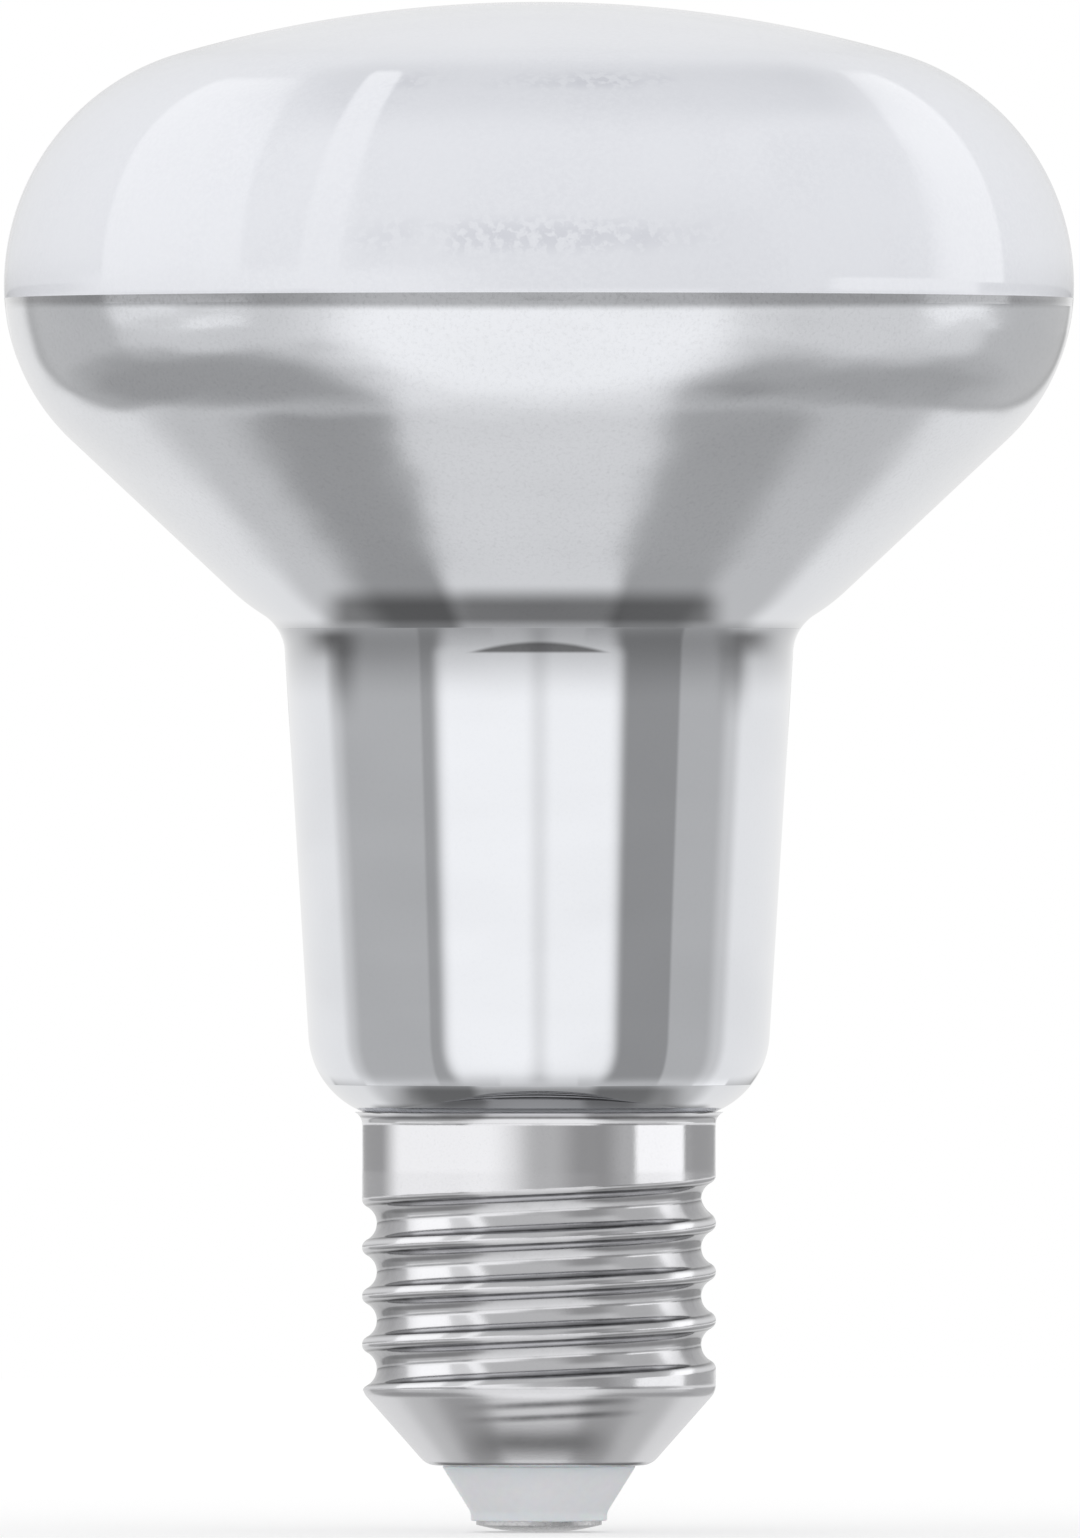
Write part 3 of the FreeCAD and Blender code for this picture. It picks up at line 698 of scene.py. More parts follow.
def mesh_object(name: str, vertices: np.ndarray, faces: list[Face], crease: float) -> Piece:
    """Smooth-shaded object of a mesh.

    Args:
        name: Name of the object.
        vertices: Rows of x, y and z in metres.
        faces: Corner indices of each face.
        crease: Angle in degrees past which an edge is sharp.

    Returns:
        The object, linked to the scene.
    """
    mesh = bpy.data.meshes.new(name)
    mesh.from_pydata(vertices.tolist(), [], faces)
    mesh.validate()
    mesh.shade_smooth()
    mesh.set_sharp_from_angle(angle=math.radians(crease))
    piece = bpy.data.objects.new(name, mesh)
    bpy.context.scene.collection.objects.link(piece)
    return piece


def loop_object(name: str, rings: list[np.ndarray], crease: float) -> Piece:
    """Closed object of rings of vertices, each joined to the next and the last to the first.

    Args:
        name: Name of the object.
        rings: Vertices of each ring, or the one vertex of a ring on the axis.
        crease: Angle in degrees past which an edge is sharp.

    Returns:
        The object, whose faces face outward where a ring is above the one before it.
    """
    around = max(len(ring) for ring in rings)
    first = 0
    numbers = []
    for ring in rings:
        numbers.append([first + i % len(ring) for i in range(around)])
        first += len(ring)
    faces = []
    for lower, upper in zip(numbers, numbers[1:] + numbers[:1]):
        for i in range(around):
            j = (i + 1) % around
            corners = tuple(dict.fromkeys((lower[i], lower[j], upper[j], upper[i])))
            if len(corners) > 2:
                faces.append(corners)
    return mesh_object(name, np.concatenate(rings), faces, crease)


def turned(name: str, outline: list[Point], around: int, crease: float) -> Piece:
    """Closed solid of revolution about the lamp's axis.

    Args:
        name: Name of the object.
        outline: Closed outline of radius and height in metres, anticlockwise with the radius to the right.
        around: Vertices in a ring.
        crease: Angle in degrees past which an edge is sharp.

    Returns:
        The object.
    """
    rings = [circle(r, z, around) if r > ON_AXIS else circle(0.0, z, 1) for r, z in outline]
    return loop_object(name, rings, crease)


def dress(piece: Piece, node: str, finish: Finish) -> Piece:
    """Gives a new piece its finish and its place in the frame.

    Args:
        piece: Object of the piece.
        node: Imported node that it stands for.
        finish: Its finish.

    Returns:
        The same object.
    """
    piece.data.materials.append(finish.build())
    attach(piece, "root")
    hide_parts(node)
    return piece


@dataclass
class GlassBulb:
    """Blown envelope: a frosted dome above the mirror's edge, and a mirrored bowl, cone and neck under it."""

    low: float
    radius: float
    equator: float = 93.2 * MM
    crown_radius: float = 96.1 * MM
    edge_radius: float = 18.05 * MM
    bowl_radius: float = 15.8 * MM
    cone_angle: float = 46.85
    roll_angle: float = 58.0
    roll_radius: float = 15.0 * MM
    throat_radius: float = 3.5 * MM
    neck_taper: float = 3.5
    neck_foot_radius: float = 17.25 * MM
    shoulder_radius: float = 6.5 * MM
    shoulder_height: float = 37.446 * MM
    tuck_radius: float = 1.2 * MM
    tube_radius: float = 11.2 * MM
    tube_end: float = 20.0 * MM
    tube_rounding: float = 3.0 * MM
    tip_radius: float = 1.7 * MM
    mirror_edge: float = 92.25 * MM
    wall: float = 1.0 * MM
    around: int = 288
    crease: float = 30.0
    overlap_edges: int = 4
    edge_edges: int = 60
    crown_edges: int = 24
    outer_edges: int = 36
    inner_edges: int = 8
    roll_edges: int = 12
    straight_edges: int = 4
    tuck_edges: int = 6
    tube_edges: int = 3
    tip_edges: int = 8
    # Heights in each bend, with the tilt in degrees that the shading takes there.
    bends: tuple[tuple[Point, ...], ...] = (
        ((89.8 * MM, -12.4), (91.60 * MM, -12.4), (91.62 * MM, -10.6), (92.5 * MM, -10.6)),
        (
            (61.5 * MM, -3.5),
            (65.2 * MM, -5.0),
            (66.3 * MM, -7.2),
            (67.54 * MM, -8.2),
            (67.56 * MM, -46.0),
            (71.0 * MM, -46.85),
        ),
        ((31.0 * MM, -60.0), (33.44 * MM, -46.0), (33.46 * MM, -8.4), (34.6 * MM, -6.6), (37.4 * MM, -3.5)),
    )

    def dome_outline(self, inset: float) -> list[Point]:
        """Outline of the dome from the mirror's edge up to the crown.

        Args:
            inset: Depth under the glass's outer face.

        Returns:
            The points.
        """
        reach = self.radius - self.edge_radius
        turn = math.degrees(math.acos(reach / (self.crown_radius - self.edge_radius)))
        crown = (0.0, self.equator - reach * math.tan(math.radians(turn)))
        drop = math.degrees(math.asin((self.mirror_edge - self.equator) / self.bowl_radius))
        bowl = (self.radius - self.bowl_radius, self.equator)
        below = arc(bowl, self.bowl_radius - inset, drop, 0, self.overlap_edges)
        edge = arc((reach, self.equator), self.edge_radius - inset, 0, turn, self.edge_edges)
        return chain(below, edge, arc(crown, self.crown_radius - inset, turn, 90, self.crown_edges))

    def dome(self) -> Piece:
        """Frosted dome as a closed shell."""
        outline = self.dome_outline(0.0) + self.dome_outline(self.wall)[::-1]
        return turned("frosted_dome", outline, self.around, self.crease)

    def throat_centres(self, cone_end: Point) -> tuple[Point, Point]:
        """Centres of the soft roll that follows the cone's end and of the throat's round after it."""
        roll = polar(cone_end, -self.roll_radius, -self.cone_angle)
        return roll, polar(roll, self.roll_radius + self.throat_radius, -self.roll_angle)

    def reflector_outline(self, inset: float, fineness: int) -> list[Point]:
        """Outline of the mirrored glass from the tube's end up to the mirror's edge.

        Args:
            inset: Depth under the glass's outer face.
            fineness: Edges to each round stretch.

        Returns:
            The points.
        """
        cone = math.radians(self.cone_angle)
        taper = math.radians(self.neck_taper)
        bowl = (self.radius - self.bowl_radius, self.equator)
        bowl_foot = polar(bowl, self.bowl_radius, -self.cone_angle)
        bowl_end = math.degrees(math.asin((self.mirror_edge - self.equator) / self.bowl_radius))
        shoulder = (self.neck_foot_radius - self.shoulder_radius, self.shoulder_height)
        neck_foot = polar(shoulder, self.shoulder_radius, -self.neck_taper)
        # The cone runs down until the throat that follows it ends on the neck's line.
        trial_end = polar(self.throat_centres(bowl_foot)[1], -self.throat_radius, -self.neck_taper)
        gap = (trial_end[0] - neck_foot[0], trial_end[1] - neck_foot[1])
        run = (gap[0] * math.cos(taper) - gap[1] * math.sin(taper)) / math.sin(cone - taper)
        roll, throat = self.throat_centres(polar(bowl_foot, run, 270 - self.cone_angle))
        tuck_x = self.tube_radius + self.tuck_radius
        fall = math.sqrt((self.shoulder_radius + self.tuck_radius) ** 2 - (tuck_x - shoulder[0]) ** 2)
        turn = math.degrees(math.atan2(fall, tuck_x - shoulder[0]))
        tube_foot = (self.tube_radius - self.tube_rounding, self.tube_end + self.tube_rounding)
        tube = arc(tube_foot, self.tube_rounding - inset, -90, 0, self.tuck_edges)
        tuck = arc((tuck_x, shoulder[1] - fall), self.tuck_radius + inset, 180, 180 - turn, self.tuck_edges)
        shoulder_arc = arc(shoulder, self.shoulder_radius - inset, -turn, -self.neck_taper, 2 * fineness)
        throat_turn = (180 - self.neck_taper, 180 - self.roll_angle)
        throat_arc = arc(throat, self.throat_radius + inset, *throat_turn, 2 * fineness)
        roll_arc = arc(roll, self.roll_radius - inset, -self.roll_angle, -self.cone_angle, self.roll_edges)
        bowl_arc = arc(bowl, self.bowl_radius - inset, -self.cone_angle, bowl_end, fineness)
        neck = straight(shoulder_arc[-1], throat_arc[0], self.straight_edges)
        flank = straight(roll_arc[-1], bowl_arc[0], self.straight_edges)
        tube_side = straight(tube[-1], tuck[0], self.tube_edges)
        return chain(tube, tube_side, tuck, shoulder_arc, neck, throat_arc, roll_arc, flank, bowl_arc)

    def reflector(self) -> Piece:
        """Mirrored bowl, cone, neck and tube with the exhaust tip.

        Returns:
            The object, a closed shell.
        """
        outside = self.reflector_outline(0.0, self.outer_edges)
        radii, heights = np.array(outside).T
        seams = [level for bend in self.bends for level, _ in bend if heights[0] < level < heights[-1]]
        outside += [(float(np.interp(z, heights, radii)), z) for z in seams]
        outside.sort(key=lambda point: point[1])
        inside = self.reflector_outline(self.wall, self.inner_edges)
        tip = arc((0.0, self.low + self.tip_radius), self.tip_radius, -90, 0, self.tip_edges)
        tip_top = (self.tip_radius, self.tube_end)
        tube_floor = (0.0, self.tube_end + self.wall)
        outline = chain(tip, [tip_top], outside) + inside[::-1] + [tube_floor]
        piece = turned("mirrored_reflector", outline, self.around, self.crease)
        self.blend_bends(piece.data, outside)
        return piece

    def blend_bends(self, mesh: bpy.types.Mesh, outside: list[Point]) -> None:
        """Shades the throat, the shoulder and the mirror's edge as the neck and the bowl that run into them.

        Args:
            mesh: Mesh of the reflector.
            outside: Its outer outline.
        """
        places = np.array([vertex.co[:] for vertex in mesh.vertices])
        reach = np.hypot(places[:, 0], places[:, 1])
        heights = places[:, 2]
        face = np.interp(heights, [z for _, z in outside], [r for r, _ in outside])
        normals = np.zeros_like(places)
        for bend in self.bends:
            levels, tilts = np.array(bend).T
            inside = (np.abs(reach - face) < self.wall / 4) & (heights > levels[0]) & (heights < levels[-1])
            tilt = np.radians(np.interp(heights[inside], levels, tilts))
            level = places[inside, :2] / reach[inside, None] * np.cos(tilt)[:, None]
            normals[inside] = np.concatenate([level, np.sin(tilt)[:, None]], 1)
        mesh.normals_split_custom_set_from_vertices(normals.tolist())

    def build(self) -> list[Piece]:
        """Both parts of the envelope, dressed."""
        dome = dress(self.dome(), "glass_bulb", FrostedGlass())
        return [dome, dress(self.reflector(), "glass_bulb", MirrorCoat())]


@dataclass
class ScrewShell:
    """Rolled cap shell: flared lip, plain skirt, round thread and rounded foot cone."""

    top: float
    foot: float
    side: float = 13.225 * MM
    root: float = 12.13 * MM
    wall: float = 0.3 * MM
    flare_height: float = 0.9 * MM
    flare_radius: float = 1.0 * MM
    lip_zone: float = 3.0 * MM
    pitch: float = 3.629 * MM
    turns: float = 3.6
    # Turn in radians over which each end of the thread runs out.
    run_out: float = 1.2
    thread_top: float = 24.9 * MM
    crest_radius: float = 0.62 * MM
    crest_flat: float = 0.01 * MM
    rim_rounding: float = 1.5 * MM
    foot_rounding: float = 1.5 * MM
    foot_angle: float = 41.4
    seat_radius: float = 7.7 * MM
    hole_radius: float = 6.6 * MM
    around: int = 288
    crease: float = 40.0
    rows_to_pitch: int = 34
    inner_row: float = 4.0 * MM
    flare_edges: int = 10
    rim_edges: int = 12
    toe_edges: int = 10
    fewest_rows: int = 2

    def blank_outline(self, inset: float, row: float) -> list[Point]:
        """Outline of the shell before its thread is rolled, from the foot's hole up to the lip.

        Args:
            inset: Depth under the outer face.
            row: Height of a step on the threaded side.

        Returns:
            The points.
        """
        slant = math.radians(self.foot_angle)
        toe = (self.seat_radius, self.foot + self.foot_rounding)
        spare = self.foot_rounding - self.rim_rounding
        run = (self.side - self.rim_rounding - self.seat_radius - spare * math.cos(slant)) / math.sin(slant)
        rim = polar(polar(toe, spare, -self.foot_angle), run, 90 - self.foot_angle)
        flare_foot = self.top - self.flare_height
        lip_turn = math.degrees(math.asin(self.flare_height / (self.flare_radius + inset)))
        flare_centre = (self.side + self.flare_radius, flare_foot)
        flare = arc(flare_centre, self.flare_radius + inset, 180, 180 - lip_turn, self.flare_edges)
        rim_arc = arc(rim, self.rim_rounding - inset, -self.foot_angle, 0, self.rim_edges)
        toe_arc = arc(toe, self.foot_rounding - inset, -90, -self.foot_angle, self.toe_edges)
        floor = straight((self.hole_radius, self.foot + inset), toe_arc[0], self.fewest_rows)
        cone = straight(toe_arc[-1], rim_arc[0], max(self.fewest_rows, round(run / row)))
        skirt = straight(rim_arc[-1], flare[0], max(self.fewest_rows, round((flare_foot - rim[1]) / row)))
        return chain(floor, toe_arc, cone, rim_arc, skirt, flare)

    def groove(self, offset: np.ndarray) -> np.ndarray:
        """Radius of the rolled groove.

        Args:
            offset: Heights from the groove's middle, at most half a pitch each way.

        Returns:
            The radius at each height: a round root that runs into a round crest.
        """
        half_pitch = self.pitch / 2
        depth = self.side - self.root + self.crest_flat
        total = (half_pitch**2 + depth**2) / (2 * depth)
        root_radius = total - self.crest_radius
        crest_centre = self.side + self.crest_flat - self.crest_radius
        away = np.minimum(np.abs(offset), half_pitch)
        hollow = self.root + root_radius - np.sqrt(np.maximum(root_radius**2 - away**2, 0))
        crown = crest_centre + np.sqrt(np.maximum(self.crest_radius**2 - (half_pitch - away) ** 2, 0))
        return np.where(away < root_radius * half_pitch / total, hollow, crown)

    def rolled(self, blank: float, height: float) -> np.ndarray:
        """Radius of the shell with its thread, round a ring of vertices.

        Args:
            blank: Radius before rolling.
            height: Height of the ring.

        Returns:
            The radius of each vertex.
        """
        angles = np.arange(self.around) * FULL_TURN / self.around
        radius = np.full(self.around, blank)
        length = self.turns * FULL_TURN
        for lap in range(-1, math.ceil(self.turns) + 1):
            along = lap * FULL_TURN - angles
            beyond = np.maximum(np.maximum(-along, along - length), 0)
            offset = height - (self.thread_top - self.pitch * along / FULL_TURN)
            reach = self.groove(offset) / np.cos(np.minimum(beyond, self.run_out))
            inside = (np.abs(offset) <= self.pitch / 2) & (beyond < self.run_out)
            radius = np.where(inside, np.minimum(radius, reach), radius)
        return radius

    def mesh(self) -> Piece:
        """Shell with its threaded outer face and a plain inner face.

        Returns:
            The object, a closed shell.
        """
        outer = self.blank_outline(0.0, self.pitch / self.rows_to_pitch)
        rings = [circle(self.rolled(radius, height), height, self.around) for radius, height in outer]
        for radius, height in self.blank_outline(self.wall, self.inner_row)[::-1]:
            in_lip = height >= self.top - self.lip_zone
            reach = radius if in_lip else min(radius, self.root - self.wall)
            rings.append(circle(reach, height, self.around))
        return loop_object("rolled_shell", rings, self.crease)

    def build(self) -> list[Piece]:
        """The shell, dressed."""
        return [dress(self.mesh(), "screw_shell", RolledNickel())]


@dataclass
class CapFoot:
    """White insulator with the domed centre contact under it."""

    base: float
    seat: float
    top: float
    contact_radius: float = 4.7 * MM
    contact_rim: float = 0.3 * MM
    flat_radius: float = 1.4 * MM
    shank_radius: float = 1.1 * MM
    bead_radius: float = 5.1 * MM
    bead_height: float = 0.5 * MM
    bead_step: float = 0.3 * MM
    foot_radius: float = 5.2 * MM
    shoulder_radius: float = 7.25 * MM
    shoulder_inset: float = 0.168 * MM
    shoulder_start: float = -25.0
    hole_radius: float = 6.6 * MM
    flange_radius: float = 7.7 * MM
    sheet: float = 0.3 * MM
    wall: float = 1.5 * MM
    floor: float = 1.6 * MM
    head_radius: float = 1.8 * MM
    head_height: float = 0.7 * MM
    head_rounding: float = 0.4 * MM
    rounding: float = 0.12 * MM
    around: int = 192
    insulator_crease: float = 50.0
    contact_crease: float = 30.0
    corner_edges: int = 5
    shoulder_edges: int = 6
    face_edges: int = 16

    def insulator(self) -> Piece:
        """Moulded cup with rounded outer edges.

        Returns:
            The object.
        """
        bead_centre = (self.bead_radius - self.rounding, self.base + self.rounding)
        rim_centre = (self.shoulder_radius - self.shoulder_inset, self.seat - self.rounding)
        outline = [
            (self.shank_radius, self.base),
            *arc(bead_centre, self.rounding, -90, 0, self.corner_edges),
            (self.bead_radius, self.base + self.bead_height),
            (self.foot_radius, self.base + self.bead_height + self.bead_step),
            *arc(rim_centre, self.rounding, self.shoulder_start, 90, self.shoulder_edges),
            (self.hole_radius, self.seat),
            (self.hole_radius, self.seat + self.sheet),
            (self.flange_radius, self.seat + self.sheet),
            (self.flange_radius, self.top),
            (self.hole_radius - self.wall, self.top),
            (self.foot_radius - self.wall, self.base + self.floor),
            (self.shank_radius, self.base + self.floor),
        ]
        return turned("insulator_moulding", outline, self.around, self.insulator_crease)

    def contact(self) -> Piece:
        """Domed plate with its riveted shank.

        Returns:
            The object.
        """
        face = self.base - self.contact_rim
        centre = (self.contact_radius**2 - self.flat_radius**2 + face**2) / (2 * face)
        radius = math.hypot(self.flat_radius, centre)
        start = math.degrees(math.atan2(-centre, self.flat_radius))
        end = math.degrees(math.atan2(face - centre, self.contact_radius))
        head_foot = self.base + self.floor
        head_top = head_foot + self.head_height
        head_centre = (self.head_radius - self.head_rounding, head_top - self.head_rounding)
        outline = [
            (0.0, 0.0),
            *arc((0.0, centre), radius, start, end, self.face_edges),
            (self.contact_radius, self.base),
            (self.shank_radius, self.base),
            (self.shank_radius, head_foot),
            (self.head_radius, head_foot),
            *arc(head_centre, self.head_rounding, 0, 90, self.corner_edges),
            (0.0, head_top),
        ]
        return turned("contact_plate", outline, self.around, self.contact_crease)

    def build(self) -> list[Piece]:
        """Both pieces, dressed."""
        insulator = dress(self.insulator(), "insulator", WhiteMoulding())
        return [insulator, dress(self.contact(), "centre_contact", DullNickel())]


@dataclass
class HiddenNodes:
    """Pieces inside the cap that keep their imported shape."""

    nodes: dict[str, Piece]

    def build(self) -> list[Piece]:
        """Gives the cement and the lead wires their finishes.

        Returns:
            Their nodes.
        """
        wire = LeadWire().build()
        finishes = {"basing_cement": BasingCement().build(), "centre_lead": wire, "side_lead": wire}
        for name, material in finishes.items():
            self.nodes[name].data.materials.clear()
            self.nodes[name].data.materials.append(material)
        return [self.nodes[name] for name in finishes]


@dataclass(frozen=True)
class Panel:
    """Rounded card of the studio, placed by the turn and tilt of the surface that mirrors it to the front.

    Attributes:
        turn: Its limits to the left and the right, in degrees.
        tilt: Its lower and upper limits, in degrees.
        tone: Its tone from 0 to 255 as a picture shows it.
        corner: Width of its rounded border, sideways and upward.
        fade: Softness of its edge as a share of the border.
        lean: Degrees to the right for each degree upward.
    """

    turn: Span
    tilt: Span
    tone: float
    corner: Point = (3.0, 3.0)
    fade: float = 0.4
    lean: float = 0.0

    def reach(self, graph: Graph, value: Any, span: Span, corner: float) -> Socket:
        """Distance into the card's rounded border.

        Args:
            graph: Node tree of the world.
            value: Turn or tilt in degrees.
            span: The card's limits of it.
            corner: Width of the rounded border in degrees.

        Returns:
            0 inside the border and 1 at the card's edge.
        """
        middle = (span[0] + span[1]) / 2
        half = (span[1] - span[0]) / 2
        away = graph.size(graph.math("SUBTRACT", value, middle))
        return graph.most(graph.line(away, 1 / corner, 1 - half / corner), 0.0)

    def cover(self, graph: Graph, turn: Any, tilt: Any) -> Socket:
        """Cover of the card.

        Args:
            graph: Node tree of the world.
            turn: Turn of the mirroring surface in degrees.
            tilt: Its tilt in degrees.

        Returns:
            A factor that is 1 on the card and 0 off it.
        """
        upright = graph.line(tilt, -self.lean, turn) if self.lean else turn
        across = self.reach(graph, upright, self.turn, self.corner[0])
        along = self.reach(graph, tilt, self.tilt, self.corner[1])
        square = graph.line(across, across, graph.times(along, along))
        return graph.rise(graph.math("SQRT", square), 1 + self.fade, 1 - self.fade)


@dataclass
class Studio:
    """White studio with soft panels and grey flags, its floor and its camera."""

    aim_height: float = 57.05 * MM
    aim_side: float = 0.075 * MM
    frame_height: float = 115.0 * MM
    lens: float = 1000.0
    sensor: float = 36.0
    clip_shares: Span = (0.01, 10.0)
    reflectance: float = 0.86
    upper_tone: float = 150.0
    lower_tone: float = 218.0
    horizon: float = -2.2
    horizon_blur: float = 0.6
    horizon_level: float = 1.06
    zenith_loss: float = 0.2
    floor_size: float = 1.6
    floor_white: float = 0.8
    floor_glow: float = 0.27
    crease: float = 30.0
    card_size: Point = (14.6 * MM, 13.0 * MM)
    card_height: float = 0.02 * MM
    card_corners: int = 48
    card_tone: float = 10.0
    card_ring: Hill = (0.71, 0.83, 0.95)
    card_front: Step = (0.78, 0.2)

    def upper_panels(self) -> list[Panel]:
        """Cards above the horizon, which the dome and the cap mirror, later ones in front.

        Returns:
            The cards.
        """
        low = -30.0
        return [
            Panel((-95, 95), (1, 78), 212, (3, 12), 0.8),
            Panel((-54.5, -10), (low, 57), 258, (8, 26), 0.06),
            Panel((10, 60), (low, 60), 266, (8, 34), 0.07),
            Panel((-33.5, 47), (-6, 61), 185, (1.5, 3), 0.6),
            Panel((-33.5, 47), (40, 66), 185, (12, 12), 0.9),
            Panel((-31, 44), (42, 62), 50, (8, 8), 0.8),
            Panel((-33.5, -20), (low, 37), 212, (1.5, 8), 0.6),
            Panel((24, 47), (low, 39), 222, (6, 8), 0.8),
            Panel((-26.8, -22), (low, 60), 248, (1.2, 3), 0.4, 0.05),
            Panel((-95, 95), (low, 0.6), 150, (2, 0.4)),
            Panel((-57, -2), (low, 3), 248, (8, 3), 0.8),
            Panel((-7, 33), (low, 8), 178, (12, 4), 0.9),
            Panel((9, 33), (low, 20), 145, (6, 8), 0.9),
            Panel((25, 46), (low, 40), 175, (8, 12), 0.6),
            Panel((33, 55), (low, 1.2), 258, (2, 0.6), 0.6),
            Panel((-95, 95), (73, 95), 218, (8, 4), 0.8),
        ]

    def lower_panels(self) -> list[Panel]:
        """Cards below the horizon, which the mirrored glass shows, later ones in front.

        Returns:
            The cards.
        """
        low = -56.0
        high = 10.0
        return [
            Panel((-73.5, 84), (-35.5, high), 150, (18, 20), 0.1),
            Panel((-71.5, 82), (-34, high), 178, (17, 18), 0.12),
            Panel((-53, -25), (-19.5, -6), 199, (3, 4), 0.4),
            Panel((24, 57), (-20.5, -6), 204, (5, 5), 0.5),
            Panel((-63, -10), (-33.5, -20.5), 148, (12, 6), 0.5),
            Panel((12, 63), (-33.5, -21), 157, (14, 8), 0.6),
            Panel((12, 26), (-33, -26), 136, (6, 3), 0.8),
            Panel((-53, -12), (low, -35), 190, (8, 4), 0.6),
            Panel((-37, -14), (low, -36.5), 146, (8, 5), 0.7),
            Panel((12, 53), (low, -34.5), 184, (8, 4), 0.6),
            Panel((14, 34), (low, -36), 155, (6, 5), 0.6),
            Panel((-17.5, 15), (low, -9), 208, (4, 4), 0.6),
            Panel((-25, 24), (-34.8, high), 238, (22, 26), 0.3),
            Panel((-54, -33), (-11.5, high), 240, (2, 0.5), 0.4),
            Panel((46, 61), (-11.5, high), 250, (2, 0.5), 0.4),
            Panel((-95, 95), (-8.6, high), 224, (3, 1.5), 0.6),
            Panel((-56, 53), (-8.4, high), 196, (4, 2.0), 0.6),
            Panel((-52, 48), (-8.2, high), 173, (4, 2.0), 0.6),
            Panel((-28, -10), (-8.2, high), 154, (1, 1.5), 0.6),
            Panel((10, 34), (-8.2, high), 142, (1, 1.5), 0.6),
            Panel((-23.4, 18.6), (-7.6, high), 210, (4, 2.5), 0.5),
            Panel((-23.4, -1.0), (-7.6, high), 241, (4, 2.5), 0.7),
            Panel((1.0, 18.6), (-7.6, high), 239, (4, 2.5), 0.7),
            Panel((-64, 66), (-75, -55), 105, (8, 3), 0.5),
        ]

    def paint(self, graph: Graph, turn: Any, tilt: Any, base: float, panels: list[Panel]) -> Any:
        """Lays cards over a base tone.

        Args:
            graph: Node tree of the world.
            turn: Turn of the mirroring surface in degrees.
            tilt: Its tilt in degrees.
            base: Tone behind all the cards.
            panels: The cards, later ones in front.

        Returns:
            The light of the finished pattern.
        """
        light: Any = linear(base) / self.reflectance
        for panel in panels:
            light = graph.blend(panel.cover(graph, turn, tilt), light, linear(panel.tone) / self.reflectance)
        return light

    def world(self) -> None:
        """Plain light from all round, with the cards for what is glossy and white behind the object."""
        world = bpy.data.worlds.new("studio")
        bpy.context.scene.world = world
        graph = Graph(world)
        path = graph.add("ShaderNodeLightPath").outputs
        direction = graph.add("ShaderNodeTexCoord").outputs["Generated"]
        half_way = graph.vector("ADD", direction, TO_CAMERA).outputs[0]
        right, back, up = graph.split(graph.vector("NORMALIZE", half_way).outputs[0])
        turn = graph.math("DEGREES", graph.math("ARCTAN2", right, graph.times(back, -1.0)))
        tilt = graph.math("DEGREES", graph.math("ARCSINE", up))
        upper = self.paint(graph, turn, tilt, self.upper_tone, self.upper_panels())
        lower = self.paint(graph, turn, tilt, self.lower_tone, self.lower_panels())
        above = graph.rise(tilt, self.horizon - self.horizon_blur, self.horizon + self.horizon_blur)
        height = graph.most(graph.split(direction)[2], 0.0)
        spread = graph.line(height, -self.zenith_loss, self.horizon_level)
        strengths = (graph.blend(path["Is Diffuse Ray"], 1.0, spread), graph.blend(above, lower, upper))
        skies = [graph.add("ShaderNodeBackground", {"Color": WHITE, "Strength": s}) for s in strengths]
        plain, cards = (sky.outputs[0] for sky in skies)
        light = graph.blend_shader(path["Is Glossy Ray"], plain, cards)
        graph.add("ShaderNodeOutputWorld", {"Surface": light})
        world.cycles.sampling_method = "NONE"

    def sheet(self, name: str, vertices: np.ndarray) -> tuple[Piece, Graph]:
        """Flat object of the studio with an empty material.

        Args:
            name: Name of the object and its material.
            vertices: Corners of its one face.

        Returns:
            The object and its material's node tree.
        """
        sheet = mesh_object(name, vertices, [tuple(range(len(vertices)))], self.crease)
        material = bpy.data.materials.new(name)
        sheet.data.materials.append(material)
        return sheet, Graph(material)

    def floor(self) -> None:
        """White floor that keeps the object's shadow."""
        half = self.floor_size / 2
        square = np.array([[-half, -half, 0.0], [half, -half, 0.0], [half, half, 0.0], [-half, half, 0.0]])
        floor, graph = self.sheet("floor", square)
        floor.visible_glossy = False
        path = graph.add("ShaderNodeLightPath").outputs
        seen = graph.most(path["Is Camera Ray"], path["Is Glossy Ray"], path["Is Transmission Ray"])
        matt = graph.add("ShaderNodeBsdfDiffuse", {"Color": (self.floor_white,) * 3})
        glow = graph.add("ShaderNodeEmission", {"Strength": graph.times(seen, self.floor_glow)})
        both = graph.add("ShaderNodeAddShader", {0: matt.outputs[0], 1: glow.outputs[0]})
        graph.add("ShaderNodeOutputMaterial", {"Surface": both.outputs[0]})

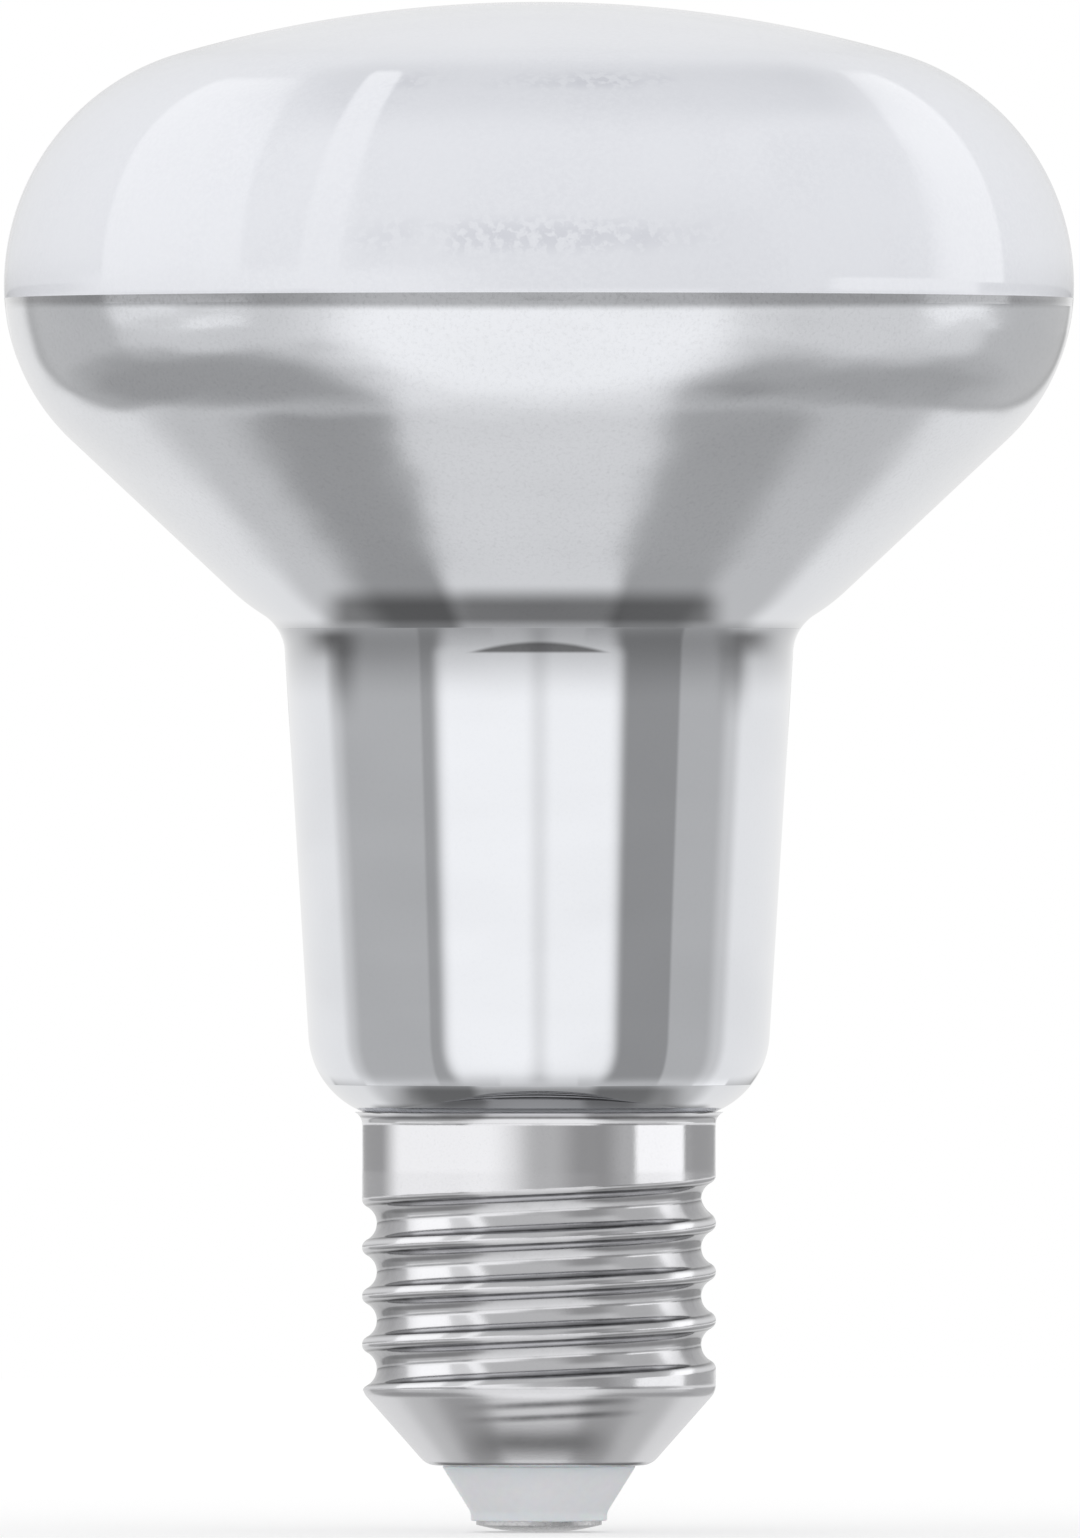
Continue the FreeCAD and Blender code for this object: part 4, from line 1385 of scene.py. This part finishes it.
    def shadow_card(self) -> None:
        """Small card round the cap's foot, dark in front and behind, which only the foot mirrors."""
        card, graph = self.sheet("shadow_card", circle(1.0, 0.0, self.card_corners))
        card.location.z = self.card_height
        card.scale = (*self.card_size, 1.0)
        card.visible_camera = False
        card.visible_diffuse = False
        card.visible_transmission = False
        card.visible_shadow = False
        card.visible_volume_scatter = False
        place = graph.place()
        aside = graph.size(graph.split(place)[0])
        ring = graph.hill(graph.reach(place), *self.card_ring)
        cover = graph.times(ring, graph.rise(aside, *self.card_front))
        clear = graph.add("ShaderNodeBsdfTransparent").outputs[0]
        dark = graph.add("ShaderNodeEmission", {"Strength": linear(self.card_tone)}).outputs[0]
        graph.add("ShaderNodeOutputMaterial", {"Surface": graph.blend_shader(cover, clear, dark)})

    def camera(self) -> None:
        """Level camera with a long lens, straight in front."""
        data = bpy.data.cameras.new("camera")
        data.sensor_fit = "VERTICAL"
        data.sensor_height = self.sensor
        data.lens = self.lens
        distance = self.frame_height * self.lens / self.sensor
        data.clip_start, data.clip_end = (distance * share for share in self.clip_shares)
        camera = bpy.data.objects.new("camera", data)
        camera.location = (self.aim_side, -distance, self.aim_height)
        camera.rotation_euler = (math.pi / 2, 0.0, 0.0)
        bpy.context.scene.collection.objects.link(camera)
        bpy.context.scene.camera = camera

    def build(self) -> None:
        """Sets the camera, the light and the floor."""
        self.camera()
        self.world()
        self.floor()
        self.shadow_card()
        bpy.context.scene.view_settings.view_transform = "Standard"


def corners(box: Any) -> list[list[float]]:
    """Plain lists of a box's two corners."""
    return [[float(v) for v in corner] for corner in box]


def main() -> None:
    """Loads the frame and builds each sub-assembly around it."""
    logging.basicConfig(level=logging.INFO, format="%(message)s")
    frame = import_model()
    Studio().build()
    glass_low, glass_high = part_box("glass_bulb")
    shell_low, shell_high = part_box("screw_shell")
    insulator_low, insulator_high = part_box("insulator")
    for assembly in (
        GlassBulb(low=glass_low.z, radius=glass_high.x),
        ScrewShell(top=shell_high.z, foot=shell_low.z),
        CapFoot(base=insulator_low.z, seat=shell_low.z, top=insulator_high.z),
        HiddenNodes(frame["nodes"]),
    ):
        for piece in assembly.build():
            logging.info("%s: %d faces", piece.name, len(piece.data.polygons))


if __name__ == "__main__":
    main()
